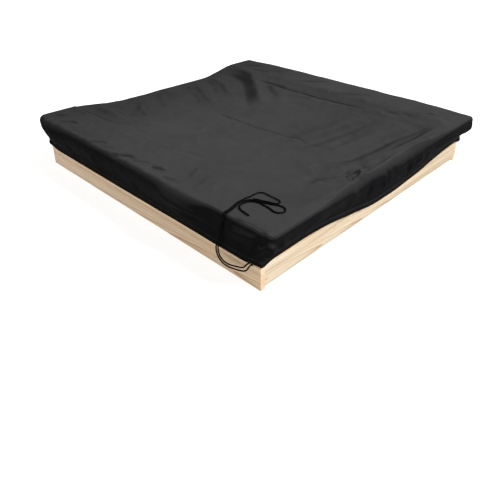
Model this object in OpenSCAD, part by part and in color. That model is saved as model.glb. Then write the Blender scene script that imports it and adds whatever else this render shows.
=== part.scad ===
// Square wooden sandbox with two benches and a fitted drawstring cover.
// Millimetres, +Z up. The origin is on the ground under the middle of the box.
// +X runs along the benches, -Y is the front, where the drawstring comes out.

/* [Box] */
// Outer width of the box along X
box_w = 1200; // [800:10:1500]
// Outer depth of the box along Y
box_d = 1200; // [900:10:1500]
// Thickness of the wall boards
board_t = 18; // [14:1:24]
// Height of the lowest course of boards
lower_h = 56; // [44:1:90]
// Height of the middle course
middle_h = 62; // [44:1:90]
// Height of the top course
upper_h = 62; // [44:1:90]
// Drain gap between the ground and the left and right boards
drain_gap = 8; // [2:1:16]
// Chamfer along the long edges of each board
edge_chamfer = 1.5; // [0.5:0.5:3]

/* [Posts and battens] */
// Side of the square corner posts
post_w = 45; // [36:1:60]
// Width of the upright batten in the middle of each wall
batten_w = 45; // [30:1:70]
// Thickness of the battens
batten_t = 20; // [16:1:28]

/* [Benches] */
// Width of the two bench boards
bench_w = 150; // [110:5:200]
// Thickness of the bench boards
bench_t = 22; // [16:1:30]
// How far each bench reaches past the left and right walls
bench_over_x = 45; // [20:1:70]
// How far each bench reaches past its own wall
bench_over_y = 6; // [2:1:12]
// Radius of the bench corners, seen from above
bench_corner_r = 15; // [8:1:30]

/* [Screws] */
// Shank diameter
screw_d = 4.5; // [3.5:0.5:6]
// Diameter of the countersunk head
head_d = 9; // [8:0.5:12]
// How deep the screws through the posts and battens reach into the wall boards
screw_bite = 12; // [8:1:15]
// Length of the screws through the benches
bench_screw_l = 60; // [40:1:70]
// Space between a screw and its hole
screw_clear = 0.1; // [0.05:0.05:0.2]
// How far post screws sit above or below the middle of a board
screw_stagger = 9; // [6:1:12]
// Inset of the bench screws from the outer faces of the walls
bench_screw_in = 29; // [26:1:34]
// Inset of the bench screws from a bench's inner edge
bench_screw_edge = 25; // [15:1:40]

/* [Cover] */
// Thickness that stands for the cover's fabric
fabric_t = 2; // [1.5:0.5:3]
// Space between the fabric and the wood that it lies on
lie_gap = 0.4; // [0.3:0.1:0.8]
// Space between the skirt and the bench ends
skirt_clear = 3; // [2:0.5:6]
// Length along Y of the slope from a bench down to the sagging middle
slope_l = 25; // [15:1:80]
// How far past a bench's inner edge the fabric stays level
slope_start = 11; // [6:1:20]
// Height of the hem's lower edge above the ground
hem_z = 78; // [60:1:95]
// Height of the hem
hem_h = 25; // [18:1:32]
// Thickness of the hem, across its drawstring channel
hem_t = 6.5; // [6:0.5:9]
// Space between the hem and the bench ends
hem_clear = 1; // [0.5:0.5:2]

/* [Drawstring] */
// Diameter of the drawstring
cord_d = 4.5; // [4:0.1:5]
// Height of the drawstring above the hem's lower edge
cord_up = 10; // [7:1:14]
// Space between the drawstring and its channel
channel_clear = 0.2; // [0.15:0.05:0.4]
// Height of the drawstring channel
channel_h = 18; // [10:1:20]
// Height of the folded edge of the hem under the channel
hem_fold = 1; // [0.5:0.5:2]
// Where the first tail leaves the hem, along X
exit_a_x = 566; // [540:1:570]
// Where the second tail leaves the hem, along X
exit_b_x = 577; // [572:1:600]

/* [Hidden] */
$fn = 48;

pine = [0.86, 0.72, 0.52];
pine_light = [0.9, 0.77, 0.58];
zinc = [0.72, 0.7, 0.62];
black_cloth = [0.13, 0.13, 0.13];
black_cord = [0.05, 0.05, 0.05];

wall_h = lower_h + middle_h + upper_h;
inner_x = box_w / 2 - board_t;
inner_y = box_d / 2 - board_t;
bench_top = wall_h + bench_t;
bench_end_x = box_w / 2 + bench_over_x;
bench_out_y = box_d / 2 + bench_over_y;
bench_in_y = bench_out_y - bench_w;

post_screw_l = post_w + screw_bite;
batten_screw_l = batten_t + screw_bite;

// The middle of each course, where its screws go.
course_z = [lower_h / 2, lower_h + middle_h / 2, lower_h + middle_h + upper_h / 2];
side_course_z = [(lower_h + drain_gap) / 2, course_z[1], course_z[2]];

// The cover's skirt follows the bench corners, skirt_clear outside them.
skirt_in_x = bench_end_x + skirt_clear;
skirt_in_y = bench_out_y + skirt_clear;
arc_x = bench_end_x - bench_corner_r;
arc_y = bench_out_y - bench_corner_r;
hem_top = hem_z + hem_h;
cloth_high = bench_top + lie_gap;
cloth_low = wall_h + lie_gap;
slope_y = bench_in_y - slope_start;
channel_t = cord_d + 2 * channel_clear;
cord_z = hem_z + cord_up;
channel_mid = hem_clear + hem_t / 2;
mitre = 200;
past = 60;

// The routes of the two free tails: out of the hem, down in a bight, up over
// the skirt and the bench edge, and along the top in two loops.
tail_a_route = [
    [566, -610, 88], [566, -622, 87], [560, -625, 78], [547, -624, 69],
    [530, -622, 62], [511, -621, 55], [490, -621, 50], [470, -621, 52],
    [456, -621, 62], [450, -621, 77], [450, -621, 94], [453, -619, 112],
    [458, -617, 134], [463, -616, 156], [468, -616, 178], [472, -618, 192],
    [476, -617, 203], [477, -609, 210], [475, -597, 209], [470, -580, 207.2],
    [465, -561, 207.2], [461, -544, 207.2], [461, -527, 207.2], [466, -512, 207.2],
    [477, -502, 207.2], [491, -497, 207.2], [506, -493, 207.2], [520, -488, 207.2],
    [534, -483, 207.2], [548, -476, 207.2], [562, -472, 207.2], [576, -475, 207.2],
    [585, -485, 207.2], [585, -497, 207.2], [576, -506, 207.2], [563, -509, 207.2],
    [548, -505, 207.2], [532, -503, 207.2], [515, -502, 207.2], [499, -502, 207.2],
    [484, -508, 207.2], [473, -518, 207.2], [469, -532, 207.2], [470, -547, 207.2],
    [477, -559, 207.2], [490, -566, 207.2], [508, -569, 207.2], [528, -572, 207.2]
];
tail_b_route = [
    [577, -610, 88], [577, -622, 86], [572, -626, 75], [558, -625, 63],
    [538, -623, 54], [515, -621, 46], [490, -621, 41], [466, -621, 43],
    [449, -621, 55], [441, -621, 73], [442, -621, 93], [446, -619, 112],
    [451, -617, 134], [456, -616, 156], [461, -616, 178], [465, -618, 192],
    [469, -617, 203], [470, -609, 210], [468, -597, 209], [463, -580, 207.2],
    [458, -561, 207.2], [454, -544, 207.2], [453, -527, 207.2], [454, -510, 207.2],
    [456, -493, 207.2], [456, -477, 207.2], [458, -462, 207.2], [468, -452, 207.2],
    [484, -451, 207.2], [502, -452, 207.2], [520, -452, 207.2], [534, -453, 207.2],
    [543, -460, 207.2], [541, -471, 207.2], [528, -477, 207.2], [513, -482, 207.2],
    [498, -488, 207.2], [484, -492, 207.2], [473, -498, 207.2]
];

// ---- Screws -------------------------------------------------------------

// One countersunk screw with its head's face at the origin, pointing along -Z.
// grow widens it all round and leaves out the drive, for cutting its hole.
module screw(length, grow = 0) {
    r = screw_d / 2 + grow;
    head_r = head_d / 2 + grow;
    cone_h = (head_d - screw_d) / 2;
    tip_h = screw_d;
    difference() {
        union() {
            translate([0, 0, -cone_h]) cylinder(r1 = r, r2 = head_r, h = cone_h);
            translate([0, 0, tip_h - length]) cylinder(r = r, h = length - tip_h - cone_h);
            translate([0, 0, -length - grow]) cylinder(r1 = 0.4, r2 = r, h = tip_h + grow);
        }
        if (grow == 0)
            translate([0, 0, -1.6]) cylinder(r = screw_d / 3, h = 1.7, $fn = 6);
    }
}

// The screws of the front wall: through both posts and the batten, outward.
module wall_screws(half_w, inner, heights, stagger, grow = 0) {
    for (z = heights) {
        for (side = [-1, 1])
            translate([side * (half_w - post_w / 2), post_w - inner, z + stagger])
                rotate([-90, 0, 0]) screw(post_screw_l, grow);
        translate([0, batten_t - inner, z])
            rotate([-90, 0, 0]) screw(batten_screw_l, grow);
    }
}

module front_screws(grow = 0) {
    wall_screws(inner_x, inner_y, course_z, screw_stagger, grow);
}

module right_screws(grow = 0) {
    rotate([0, 0, 90]) wall_screws(inner_y, inner_x, side_course_z, -screw_stagger, grow);
}

// The screws of the front bench: into the posts, the side boards and the batten.
module bench_screws(grow = 0) {
    for (side = [-1, 1]) {
        translate([side * (box_w / 2 - bench_screw_in), bench_screw_in - box_d / 2, bench_top])
            screw(bench_screw_l, grow);
        translate([side * (inner_x + board_t / 2), -bench_in_y - bench_screw_edge, bench_top])
            screw(bench_screw_l, grow);
    }
    translate([batten_w / 4, batten_t / 2 - inner_y, bench_top]) screw(bench_screw_l, grow);
}

// Every screw's hole, cut from the wood that a node is made of.
module all_holes() {
    for (turn = [0, 180]) rotate([0, 0, turn]) {
        front_screws(screw_clear);
        right_screws(screw_clear);
        bench_screws(screw_clear);
    }
}

// ---- Wood ---------------------------------------------------------------

// A board's section with its four long edges chamfered, in the first quadrant.
module board_section(thick, high) {
    c = edge_chamfer;
    polygon([
        [c, 0], [thick - c, 0], [thick, c], [thick, high - c],
        [thick - c, high], [c, high], [0, high - c], [0, c]
    ]);
}

// A wall board of the given length, centred on X, its outer face at y = -out.
module wall_board(length, out, bottom, top) {
    translate([-length / 2, -out, bottom])
        rotate([90, 0, 90])
            linear_extrude(length) board_section(board_t, top - bottom);
}

// The front and back boards run the full width and show their end grain.
module long_board(bottom, top) {
    difference() {
        wall_board(box_w, box_d / 2, bottom, top);
        front_screws(screw_clear);
    }
}

// The left and right boards fit between them.
module short_board(bottom, top) {
    difference() {
        rotate([0, 0, 90]) wall_board(2 * inner_y, box_w / 2, bottom, top);
        right_screws(screw_clear);
        for (turn = [0, 180]) rotate([0, 0, turn]) bench_screws(screw_clear);
    }
}

module at_back() { rotate([0, 0, 180]) children(); }

module corner_post(side_x, side_y) {
    difference() {
        translate([side_x * (inner_x - post_w / 2), side_y * (inner_y - post_w / 2), 0])
            linear_extrude(wall_h) square(post_w, center = true);
        all_holes();
    }
}

// An upright batten on the front wall.
module batten_on(inner, bottom) {
    translate([-batten_w / 2, -inner, bottom]) cube([batten_w, batten_t, wall_h - bottom]);
}

// One bench board, lying on the front wall and on the ends of the side walls.
module bench_board() {
    difference() {
        translate([0, -bench_in_y - bench_w / 2, wall_h])
            rounded_plate(bench_end_x, bench_w / 2, bench_corner_r, bench_t);
        bench_screws(screw_clear);
    }
}

// A plate with round corners, centred on the origin.
module rounded_plate(half_x, half_y, r, h) {
    linear_extrude(h) rounded_outline(half_x, half_y, r);
}

module rounded_outline(half_x, half_y, r) {
    square([2 * half_x, 2 * (half_y - r)], center = true);
    square([2 * (half_x - r), 2 * half_y], center = true);
    for (sx = [-1, 1], sy = [-1, 1])
        translate([sx * (half_x - r), sy * (half_y - r)]) circle(r);
}

// ---- Cover --------------------------------------------------------------

// An upright band round the cover, from in to in + thick outside the benches.
module band(from_bench, thick, bottom, high) {
    translate([0, 0, bottom]) linear_extrude(high) difference() {
        rounded_outline(bench_end_x + from_bench + thick, bench_out_y + from_bench + thick,
                        bench_corner_r + from_bench + thick);
        rounded_outline(bench_end_x + from_bench, bench_out_y + from_bench,
                        bench_corner_r + from_bench);
    }
}

// The quarter of the cover that belongs to one side, cut at the corners' mitres.
module side_wedge(along, out) {
    linear_extrude(bench_top + past) polygon([
        [-along, -out], [-along - mitre, -out - mitre],
        [along + mitre, -out - mitre], [along, -out]
    ]);
}

module front_wedge() { side_wedge(arc_x, arc_y); }
module right_wedge() { rotate([0, 0, 90]) side_wedge(arc_y, arc_x); }

// The height profile of the cloth across the benches, raised by up.
function cloth_line(up) = [
    [-skirt_in_y - past, cloth_high + up], [-slope_y, cloth_high + up],
    [slope_l - slope_y, cloth_low + up], [slope_y - slope_l, cloth_low + up],
    [slope_y, cloth_high + up], [skirt_in_y + past, cloth_high + up]
];

// Everything under the cloth's underside.
module under_cloth() {
    rotate([90, 0, 90]) translate([0, 0, -bench_end_x - past])
        linear_extrude(2 * (bench_end_x + past)) polygon(concat(
            [[skirt_in_y + past, 0], [-skirt_in_y - past, 0]], cloth_line(0)));
}

module cover_top_cloth() {
    intersection() {
        rounded_plate(skirt_in_x + fabric_t, skirt_in_y + fabric_t,
                      bench_corner_r + skirt_clear + fabric_t, bench_top + past);
        rotate([90, 0, 90]) translate([0, 0, -bench_end_x - past])
            linear_extrude(2 * (bench_end_x + past)) polygon(concat(
                cloth_line(fabric_t), [for (i = [5:-1:0]) cloth_line(0)[i]]));
    }
}

module skirt_band() {
    intersection() {
        band(skirt_clear, fabric_t, hem_top, bench_top - hem_top + past);
        under_cloth();
    }
}

// The hem is a flat tube that the drawstring runs through.
module hem_band() {
    difference() {
        band(hem_clear, hem_t, hem_z, hem_h);
        band(channel_mid - channel_t / 2, channel_t, hem_z + hem_fold, channel_h);
        for (x = [exit_a_x, exit_b_x])
            translate([x, -bench_out_y - channel_mid, cord_z])
                rotate([90, 0, 0]) cylinder(d = cord_d + 1.5, h = hem_t + 5);
    }
}

// ---- Drawstring ---------------------------------------------------------

function unit(v) = v / norm(v);
function last(list) = list[len(list) - 1];

// The direction of a route at each of its points.
function headings(p) = [for (i = [0:len(p) - 1])
    unit(p[min(i + 1, len(p) - 1)] - p[max(i - 1, 0)])];

// A direction across each heading, carried along the route without twist.
function across(t, i, found) = i == len(t) ? found :
    across(t, i + 1, concat(found, [unit(last(found) - t[i] * (last(found) * t[i]))]));

function first_across(t) = unit(cross(t, abs(t[2]) < 0.9 ? [0, 0, 1] : [1, 0, 0]));

// A round tube along a route.
module tube(route, diameter, sides = 8) {
    t = headings(route);
    n = across(t, 1, [first_across(t[0])]);
    count = len(route);
    points = [for (i = [0:count - 1], k = [0:sides - 1])
        route[i] + diameter / 2 * (cos(360 * k / sides) * n[i]
                                   + sin(360 * k / sides) * cross(t[i], n[i]))];
    walls = [for (i = [0:count - 2], k = [0:sides - 1])
        [i * sides + k, (i + 1) * sides + k,
         (i + 1) * sides + (k + 1) % sides, i * sides + (k + 1) % sides]];
    caps = [[for (k = [0:sides - 1]) k],
            [for (k = [sides - 1:-1:0]) (count - 1) * sides + k]];
    polyhedron(points = points, faces = concat(walls, caps), convexity = 6);
}

// The closed part of the drawstring: from one exit round the hem to the other.
function corner_arc(cx, cy, from_angle) = [for (a = [0:18:90])
    [cx, cy, cord_z] + (bench_corner_r + channel_mid)
        * [cos(from_angle + a), sin(from_angle + a), 0]];

hem_route = concat(
    [[exit_b_x + cord_d / 2 + 0.3, -bench_out_y - channel_mid, cord_z]],
    corner_arc(arc_x, -arc_y, -90), corner_arc(arc_x, arc_y, 0),
    corner_arc(-arc_x, arc_y, 90), corner_arc(-arc_x, -arc_y, 180),
    [[exit_a_x - cord_d / 2 - 0.3, -bench_out_y - channel_mid, cord_z]]);

// ---- Sub-parts ----------------------------------------------------------

module front_board_lower() { color(pine) long_board(0, lower_h); }
module front_board_middle() { color(pine_light) long_board(lower_h, lower_h + middle_h); }
module front_board_upper() { color(pine) upper_long_board(); }
module back_board_lower() { color(pine) at_back() long_board(0, lower_h); }
module back_board_middle() { color(pine_light) at_back() long_board(lower_h, lower_h + middle_h); }
module back_board_upper() { color(pine) at_back() upper_long_board(); }
module right_board_lower() { color(pine_light) short_board(drain_gap, lower_h); }
module right_board_middle() { color(pine) short_board(lower_h, lower_h + middle_h); }
module right_board_upper() { color(pine_light) short_board(lower_h + middle_h, wall_h); }
module left_board_lower() { color(pine_light) at_back() short_board(drain_gap, lower_h); }
module left_board_middle() { color(pine) at_back() short_board(lower_h, lower_h + middle_h); }
module left_board_upper() { color(pine_light) at_back() short_board(lower_h + middle_h, wall_h); }
module upper_long_board() { long_board(lower_h + middle_h, wall_h); }

module corner_post_front_left() { color(pine_light) corner_post(-1, -1); }
module corner_post_front_right() { color(pine_light) corner_post(1, -1); }
module corner_post_back_left() { color(pine_light) corner_post(-1, 1); }
module corner_post_back_right() { color(pine_light) corner_post(1, 1); }

module batten_front() {
    color(pine) difference() { batten_on(inner_y, 0); all_holes(); }
}
module batten_back() { at_back() batten_front(); }
module batten_right() {
    color(pine) difference() {
        rotate([0, 0, 90]) batten_on(inner_x, drain_gap);
        right_screws(screw_clear);
    }
}
module batten_left() { at_back() batten_right(); }

module bench_front() { color(pine_light) bench_board(); }
module bench_back() { at_back() bench_front(); }

module screws_front_wall() { color(zinc) front_screws(); }
module screws_back_wall() { at_back() screws_front_wall(); }
module screws_right_wall() { color(zinc) right_screws(); }
module screws_left_wall() { at_back() screws_right_wall(); }
module screws_front_bench() { color(zinc) bench_screws(); }
module screws_back_bench() { at_back() screws_front_bench(); }

module cover_top() { color(black_cloth) cover_top_cloth(); }
module cover_skirt_front() {
    color(black_cloth) intersection() { skirt_band(); front_wedge(); }
}
module cover_skirt_right() {
    color(black_cloth) intersection() { skirt_band(); right_wedge(); }
}
module cover_skirt_back() { at_back() cover_skirt_front(); }
module cover_skirt_left() { at_back() cover_skirt_right(); }
module cover_hem_front() {
    color(black_cloth) intersection() { hem_band(); front_wedge(); }
}
module cover_hem_right() {
    color(black_cloth) intersection() { hem_band(); right_wedge(); }
}
module cover_hem_back() {
    color(black_cloth) intersection() { hem_band(); at_back() front_wedge(); }
}
module cover_hem_left() { at_back() cover_hem_right(); }

module drawstring_in_hem() { color(black_cord) tube(hem_route, cord_d); }
module drawstring_tail_a() { color(black_cord) tube(tail_a_route, cord_d); }
module drawstring_tail_b() { color(black_cord) tube(tail_b_route, cord_d); }

front_board_lower();
front_board_middle();
front_board_upper();
back_board_lower();
back_board_middle();
back_board_upper();
left_board_lower();
left_board_middle();
left_board_upper();
right_board_lower();
right_board_middle();
right_board_upper();
corner_post_front_left();
corner_post_front_right();
corner_post_back_left();
corner_post_back_right();
batten_front();
batten_back();
batten_left();
batten_right();
bench_front();
bench_back();
screws_front_wall();
screws_back_wall();
screws_left_wall();
screws_right_wall();
screws_front_bench();
screws_back_bench();
cover_top();
cover_skirt_front();
cover_skirt_right();
cover_skirt_back();
cover_skirt_left();
cover_hem_front();
cover_hem_right();
cover_hem_back();
cover_hem_left();
drawstring_in_hem();
drawstring_tail_a();
drawstring_tail_b();
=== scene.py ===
"""Visual model of a square wooden sandbox with a fitted drawstring cover.

The wood and the screws are the CAD solids, dressed with their own finishes. The cloth cover,
its hem, its stitching and its drawstring are built here, over the benches and walls of the CAD.
"""

import logging
import math
from dataclasses import dataclass, field
from enum import Enum, IntEnum

import bpy
import numpy as np
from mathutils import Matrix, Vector, noise

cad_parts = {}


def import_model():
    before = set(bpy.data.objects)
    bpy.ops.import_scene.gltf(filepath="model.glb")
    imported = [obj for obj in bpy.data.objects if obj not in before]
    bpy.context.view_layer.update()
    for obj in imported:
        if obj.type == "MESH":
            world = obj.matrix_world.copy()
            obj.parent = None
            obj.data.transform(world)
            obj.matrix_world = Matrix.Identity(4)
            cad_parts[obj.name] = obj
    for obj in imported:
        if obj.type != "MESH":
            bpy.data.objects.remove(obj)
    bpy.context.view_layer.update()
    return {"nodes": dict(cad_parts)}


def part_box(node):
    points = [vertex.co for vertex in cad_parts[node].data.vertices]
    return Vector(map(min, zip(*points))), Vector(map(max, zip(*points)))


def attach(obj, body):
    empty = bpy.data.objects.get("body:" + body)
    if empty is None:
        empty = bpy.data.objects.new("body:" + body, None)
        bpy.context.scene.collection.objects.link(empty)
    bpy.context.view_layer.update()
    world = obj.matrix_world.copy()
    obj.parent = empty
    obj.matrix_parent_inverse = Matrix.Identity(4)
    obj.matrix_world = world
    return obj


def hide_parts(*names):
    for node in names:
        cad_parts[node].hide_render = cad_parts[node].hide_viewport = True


LOG = logging.getLogger("sandbox")
MM = 0.001


# ---- Small helpers ---------------------------------------------------------


def linear(hex_colour: str) -> tuple[float, float, float, float]:
    """Turn an sRGB hex colour into linear RGBA.

    Args:
        hex_colour: six hex digits, with or without a leading #.

    Returns:
        The linear colour with alpha 1.
    """
    digits = hex_colour.lstrip("#")
    parts = [int(digits[i : i + 2], 16) / 255 for i in (0, 2, 4)]
    return (*[c / 12.92 if c <= 0.04045 else ((c + 0.055) / 1.055) ** 2.4 for c in parts], 1.0)


def smooth(low: float, high: float, value: np.ndarray) -> np.ndarray:
    """Rise smoothly from 0 at low to 1 at high.

    Args:
        low: where the rise starts.
        high: where it ends.
        value: the numbers to map.

    Returns:
        The mapped numbers, from 0 to 1.
    """
    t = np.clip((value - low) / (high - low), 0.0, 1.0)
    return t * t * (3 - 2 * t)


def add_node(
    tree: bpy.types.NodeTree,
    kind: str,
    inputs: dict[str | int, object] | None = None,
    **settings: object,
) -> bpy.types.Node:
    """Add one node, set its fields and fill or link its inputs.

    Args:
        tree: the material's node tree.
        kind: the node's type name.
        inputs: a value or an output socket for each named or numbered input.
        **settings: the node's own fields.

    Returns:
        The new node.
    """
    node = tree.nodes.new(kind)
    for name, value in settings.items():
        setattr(node, name, value)
    for key, value in (inputs or {}).items():
        if isinstance(value, bpy.types.NodeSocket):
            tree.links.new(value, node.inputs[key])
        else:
            node.inputs[key].default_value = value
    return node


def fill_ramp(node: bpy.types.Node, stops: list[tuple[float, str]]) -> bpy.types.NodeSocket:
    """Give a colour ramp its stops.

    Args:
        node: the ramp node.
        stops: each stop's place and hex colour.

    Returns:
        The ramp's colour output.
    """
    elements = node.color_ramp.elements
    while len(elements) > len(stops):
        elements.remove(elements[-1])
    while len(elements) < len(stops):
        elements.new(1.0)
    for element, (place, colour) in zip(elements, stops):
        element.position = place
        element.color = linear(colour)
    return node.outputs["Color"]


def new_material(name: str) -> tuple[bpy.types.Material, bpy.types.NodeTree, bpy.types.Node]:
    """Make an empty material with a Principled shader on its output.

    Args:
        name: the material's name.

    Returns:
        The material, its node tree and its shader node.
    """
    material = bpy.data.materials.new(name)
    material.use_nodes = True
    tree = material.node_tree
    tree.nodes.clear()
    shader = add_node(tree, "ShaderNodeBsdfPrincipled")
    add_node(tree, "ShaderNodeOutputMaterial", {"Surface": shader.outputs["BSDF"]})
    return material, tree, shader


def dress(piece: bpy.types.Object, material: bpy.types.Material) -> None:
    """Give a piece one material."""
    piece.data.materials.clear()
    piece.data.materials.append(material)


def mesh_piece(
    name: str, points: np.ndarray, faces: list[tuple[int, ...]], smooth_faces: bool = True
) -> bpy.types.Object:
    """Make a mesh object at the origin.

    Args:
        name: the piece's name.
        points: its vertices, in metres.
        faces: the vertex numbers of each face.
        smooth_faces: whether it is shaded smooth.

    Returns:
        The new object.
    """
    mesh = bpy.data.meshes.new(name)
    mesh.from_pydata([tuple(map(float, p)) for p in points], [], faces)
    mesh.polygons.foreach_set("use_smooth", [smooth_faces] * len(mesh.polygons))
    mesh.update()
    piece = bpy.data.objects.new(name, mesh)
    bpy.context.scene.collection.objects.link(piece)
    return piece


def write_uv(piece: bpy.types.Object, name: str, per_corner: np.ndarray) -> None:
    """Store a UV map.

    Args:
        piece: the mesh object.
        name: the map's name.
        per_corner: one (u, v) for each face corner.
    """
    layer = piece.data.uv_layers.new(name=name)
    layer.data.foreach_set("uv", per_corner.astype(np.float32).ravel())


# ---- Finishes --------------------------------------------------------------


class Grain(Enum):
    """The way a board's grain runs."""

    ALONG_X = "x"
    ALONG_Y = "y"
    UPRIGHT = "z"


@dataclass(frozen=True)
class PlanedPine:
    """Planed softwood with no coating: cream earlywood, tan latewood lines, matt.

    Growth rings are about 4 mm apart. They are cut as cylinders round a pith line that lies
    outside the board and a little out of line with it, so that faces show long streaks and
    cathedrals and the ends show arcs.
    """

    pale: str = "#E4D0B5"
    mid: str = "#D7BB97"
    dark: str = "#B1875E"
    ring_mm: float = 4.2

    def build(self, name: str, grain: Grain, seed: int, centre: Vector) -> bpy.types.Material:
        """Make the finish for one board.

        Args:
            name: the board's name.
            grain: which way its grain runs.
            seed: a whole number that places its pith and its streaks.
            centre: the middle of the board, in metres.

        Returns:
            The material.
        """
        material, tree, shader = new_material(f"planed pine {name}")
        rng = np.random.default_rng(seed)
        turn = {
            Grain.ALONG_X: (0.0, 0.0, 0.0),
            Grain.ALONG_Y: (0.0, 0.0, -math.pi / 2),
            Grain.UPRIGHT: (0.0, math.pi / 2, 0.0),
        }[grain]
        coordinates = add_node(tree, "ShaderNodeTexCoord").outputs["Object"]
        centred = add_node(
            tree, "ShaderNodeVectorMath", {0: coordinates, 1: tuple(centre)}, operation="SUBTRACT"
        )
        board = add_node(
            tree, "ShaderNodeVectorRotate", {"Vector": centred.outputs[0], "Rotation": turn},
            rotation_type="EULER_XYZ",
        ).outputs[0]

        # The pith: 30 to 70 mm to one side, and out of line by up to 2 degrees.
        side = rng.uniform(30, 70) * MM * rng.choice([-1, 1])
        tilt = [math.radians(rng.uniform(-2.0, 2.0)) for _ in range(2)]
        pith = add_node(
            tree, "ShaderNodeMapping",
            {"Vector": board, "Location": (0, side, rng.uniform(-40, 40) * MM),
             "Rotation": (0, tilt[0], tilt[1])},
        ).outputs[0]
        drift = add_node(
            tree, "ShaderNodeTexNoise",
            {"Vector": add_node(tree, "ShaderNodeMapping",
                                {"Vector": board, "Scale": (1.6, 14, 14),
                                 "Location": tuple(rng.uniform(-9, 9, 3))}).outputs[0],
             "Scale": 1.0, "Detail": 3.0, "Roughness": 0.5},
        ).outputs["Fac"]
        apart = add_node(tree, "ShaderNodeSeparateXYZ", {0: pith})
        radius = add_node(
            tree, "ShaderNodeMath",
            {0: add_node(tree, "ShaderNodeVectorMath",
                         {0: add_node(tree, "ShaderNodeCombineXYZ",
                                      {1: apart.outputs[1], 2: apart.outputs[2]}).outputs[0]},
                         operation="LENGTH").outputs["Value"],
             1: add_node(tree, "ShaderNodeMath", {0: drift, 1: 0.011},
                         operation="MULTIPLY").outputs[0]},
            operation="ADD",
        ).outputs[0]
        rings = add_node(
            tree, "ShaderNodeMath",
            {0: add_node(tree, "ShaderNodeMath", {0: radius, 1: 1 / (self.ring_mm * MM)},
                         operation="MULTIPLY").outputs[0]},
            operation="FRACT",
        ).outputs[0]
        ring_colour = fill_ramp(
            add_node(tree, "ShaderNodeValToRGB", {0: rings}),
            [(0.0, self.pale), (0.45, self.pale), (0.82, self.mid), (0.94, self.dark), (1.0, self.pale)],
        )
        # Fibres 0.6 mm wide and about 60 times as long.
        fibres = add_node(
            tree, "ShaderNodeTexNoise",
            {"Vector": add_node(tree, "ShaderNodeMapping",
                                {"Vector": board, "Scale": (9, 520, 520)}).outputs[0],
             "Scale": 1.0, "Detail": 4.0, "Roughness": 0.65},
        ).outputs["Fac"]
        # Broad tonal streaks, 20 to 40 mm wide.
        streaks = add_node(
            tree, "ShaderNodeTexNoise",
            {"Vector": add_node(tree, "ShaderNodeMapping",
                                {"Vector": board, "Scale": (1.1, 30, 30),
                                 "Location": tuple(rng.uniform(-9, 9, 3))}).outputs[0],
             "Scale": 1.0, "Detail": 2.0, "Roughness": 0.5},
        ).outputs["Fac"]
        toned = add_node(
            tree, "ShaderNodeMix",
            {0: fill_ramp(add_node(tree, "ShaderNodeValToRGB", {0: streaks}),
                          [(0.35, "#000000"), (0.75, "#C8C8C8")]),
             6: ring_colour, 7: linear(self.mid)},
            data_type="RGBA", blend_type="MULTIPLY",
        ).outputs[2]
        fibred = add_node(
            tree, "ShaderNodeMix",
            {0: 0.55, 6: toned,
             7: fill_ramp(add_node(tree, "ShaderNodeValToRGB", {0: fibres}),
                          [(0.28, "#C4B29C"), (0.5, "#F3F0EA"), (0.7, "#FFFFFF")])},
            data_type="RGBA", blend_type="MULTIPLY",
        ).outputs[2]
        tree.links.new(fibred, shader.inputs["Base Color"])
        tree.links.new(
            add_node(tree, "ShaderNodeMapRange", {0: rings, 3: 0.68, 4: 0.52}).outputs[0],
            shader.inputs["Roughness"],
        )
        relief = add_node(
            tree, "ShaderNodeMath",
            {0: fibres, 1: add_node(tree, "ShaderNodeMath", {0: rings, 1: 0.35},
                                    operation="MULTIPLY").outputs[0]},
            operation="ADD",
        ).outputs[0]
        tree.links.new(
            add_node(tree, "ShaderNodeBump",
                     {"Height": relief, "Strength": 0.5, "Distance": 0.3 * MM}).outputs[0],
            shader.inputs["Normal"],
        )
        shader.inputs["Specular IOR Level"].default_value = 0.35
        return material


@dataclass(frozen=True)
class YellowZinc:
    """Yellow-passivated zinc plate on a steel screw: pale gold, slightly clouded."""

    colour: str = "#C9B06A"
    cloud: str = "#A9A58E"

    def build(self) -> bpy.types.Material:
        """Make the finish and return it."""
        material, tree, shader = new_material("yellow zinc plate")
        coordinates = add_node(tree, "ShaderNodeTexCoord").outputs["Object"]
        clouds = add_node(
            tree, "ShaderNodeTexNoise", {"Vector": coordinates, "Scale": 260.0, "Detail": 3.0}
        ).outputs["Fac"]
        tree.links.new(
            fill_ramp(add_node(tree, "ShaderNodeValToRGB", {0: clouds}),
                      [(0.35, self.colour), (0.7, self.cloud)]),
            shader.inputs["Base Color"],
        )
        tree.links.new(
            add_node(tree, "ShaderNodeMapRange", {0: clouds, 3: 0.28, 4: 0.46}).outputs[0],
            shader.inputs["Roughness"],
        )
        shader.inputs["Metallic"].default_value = 1.0
        return material


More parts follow.
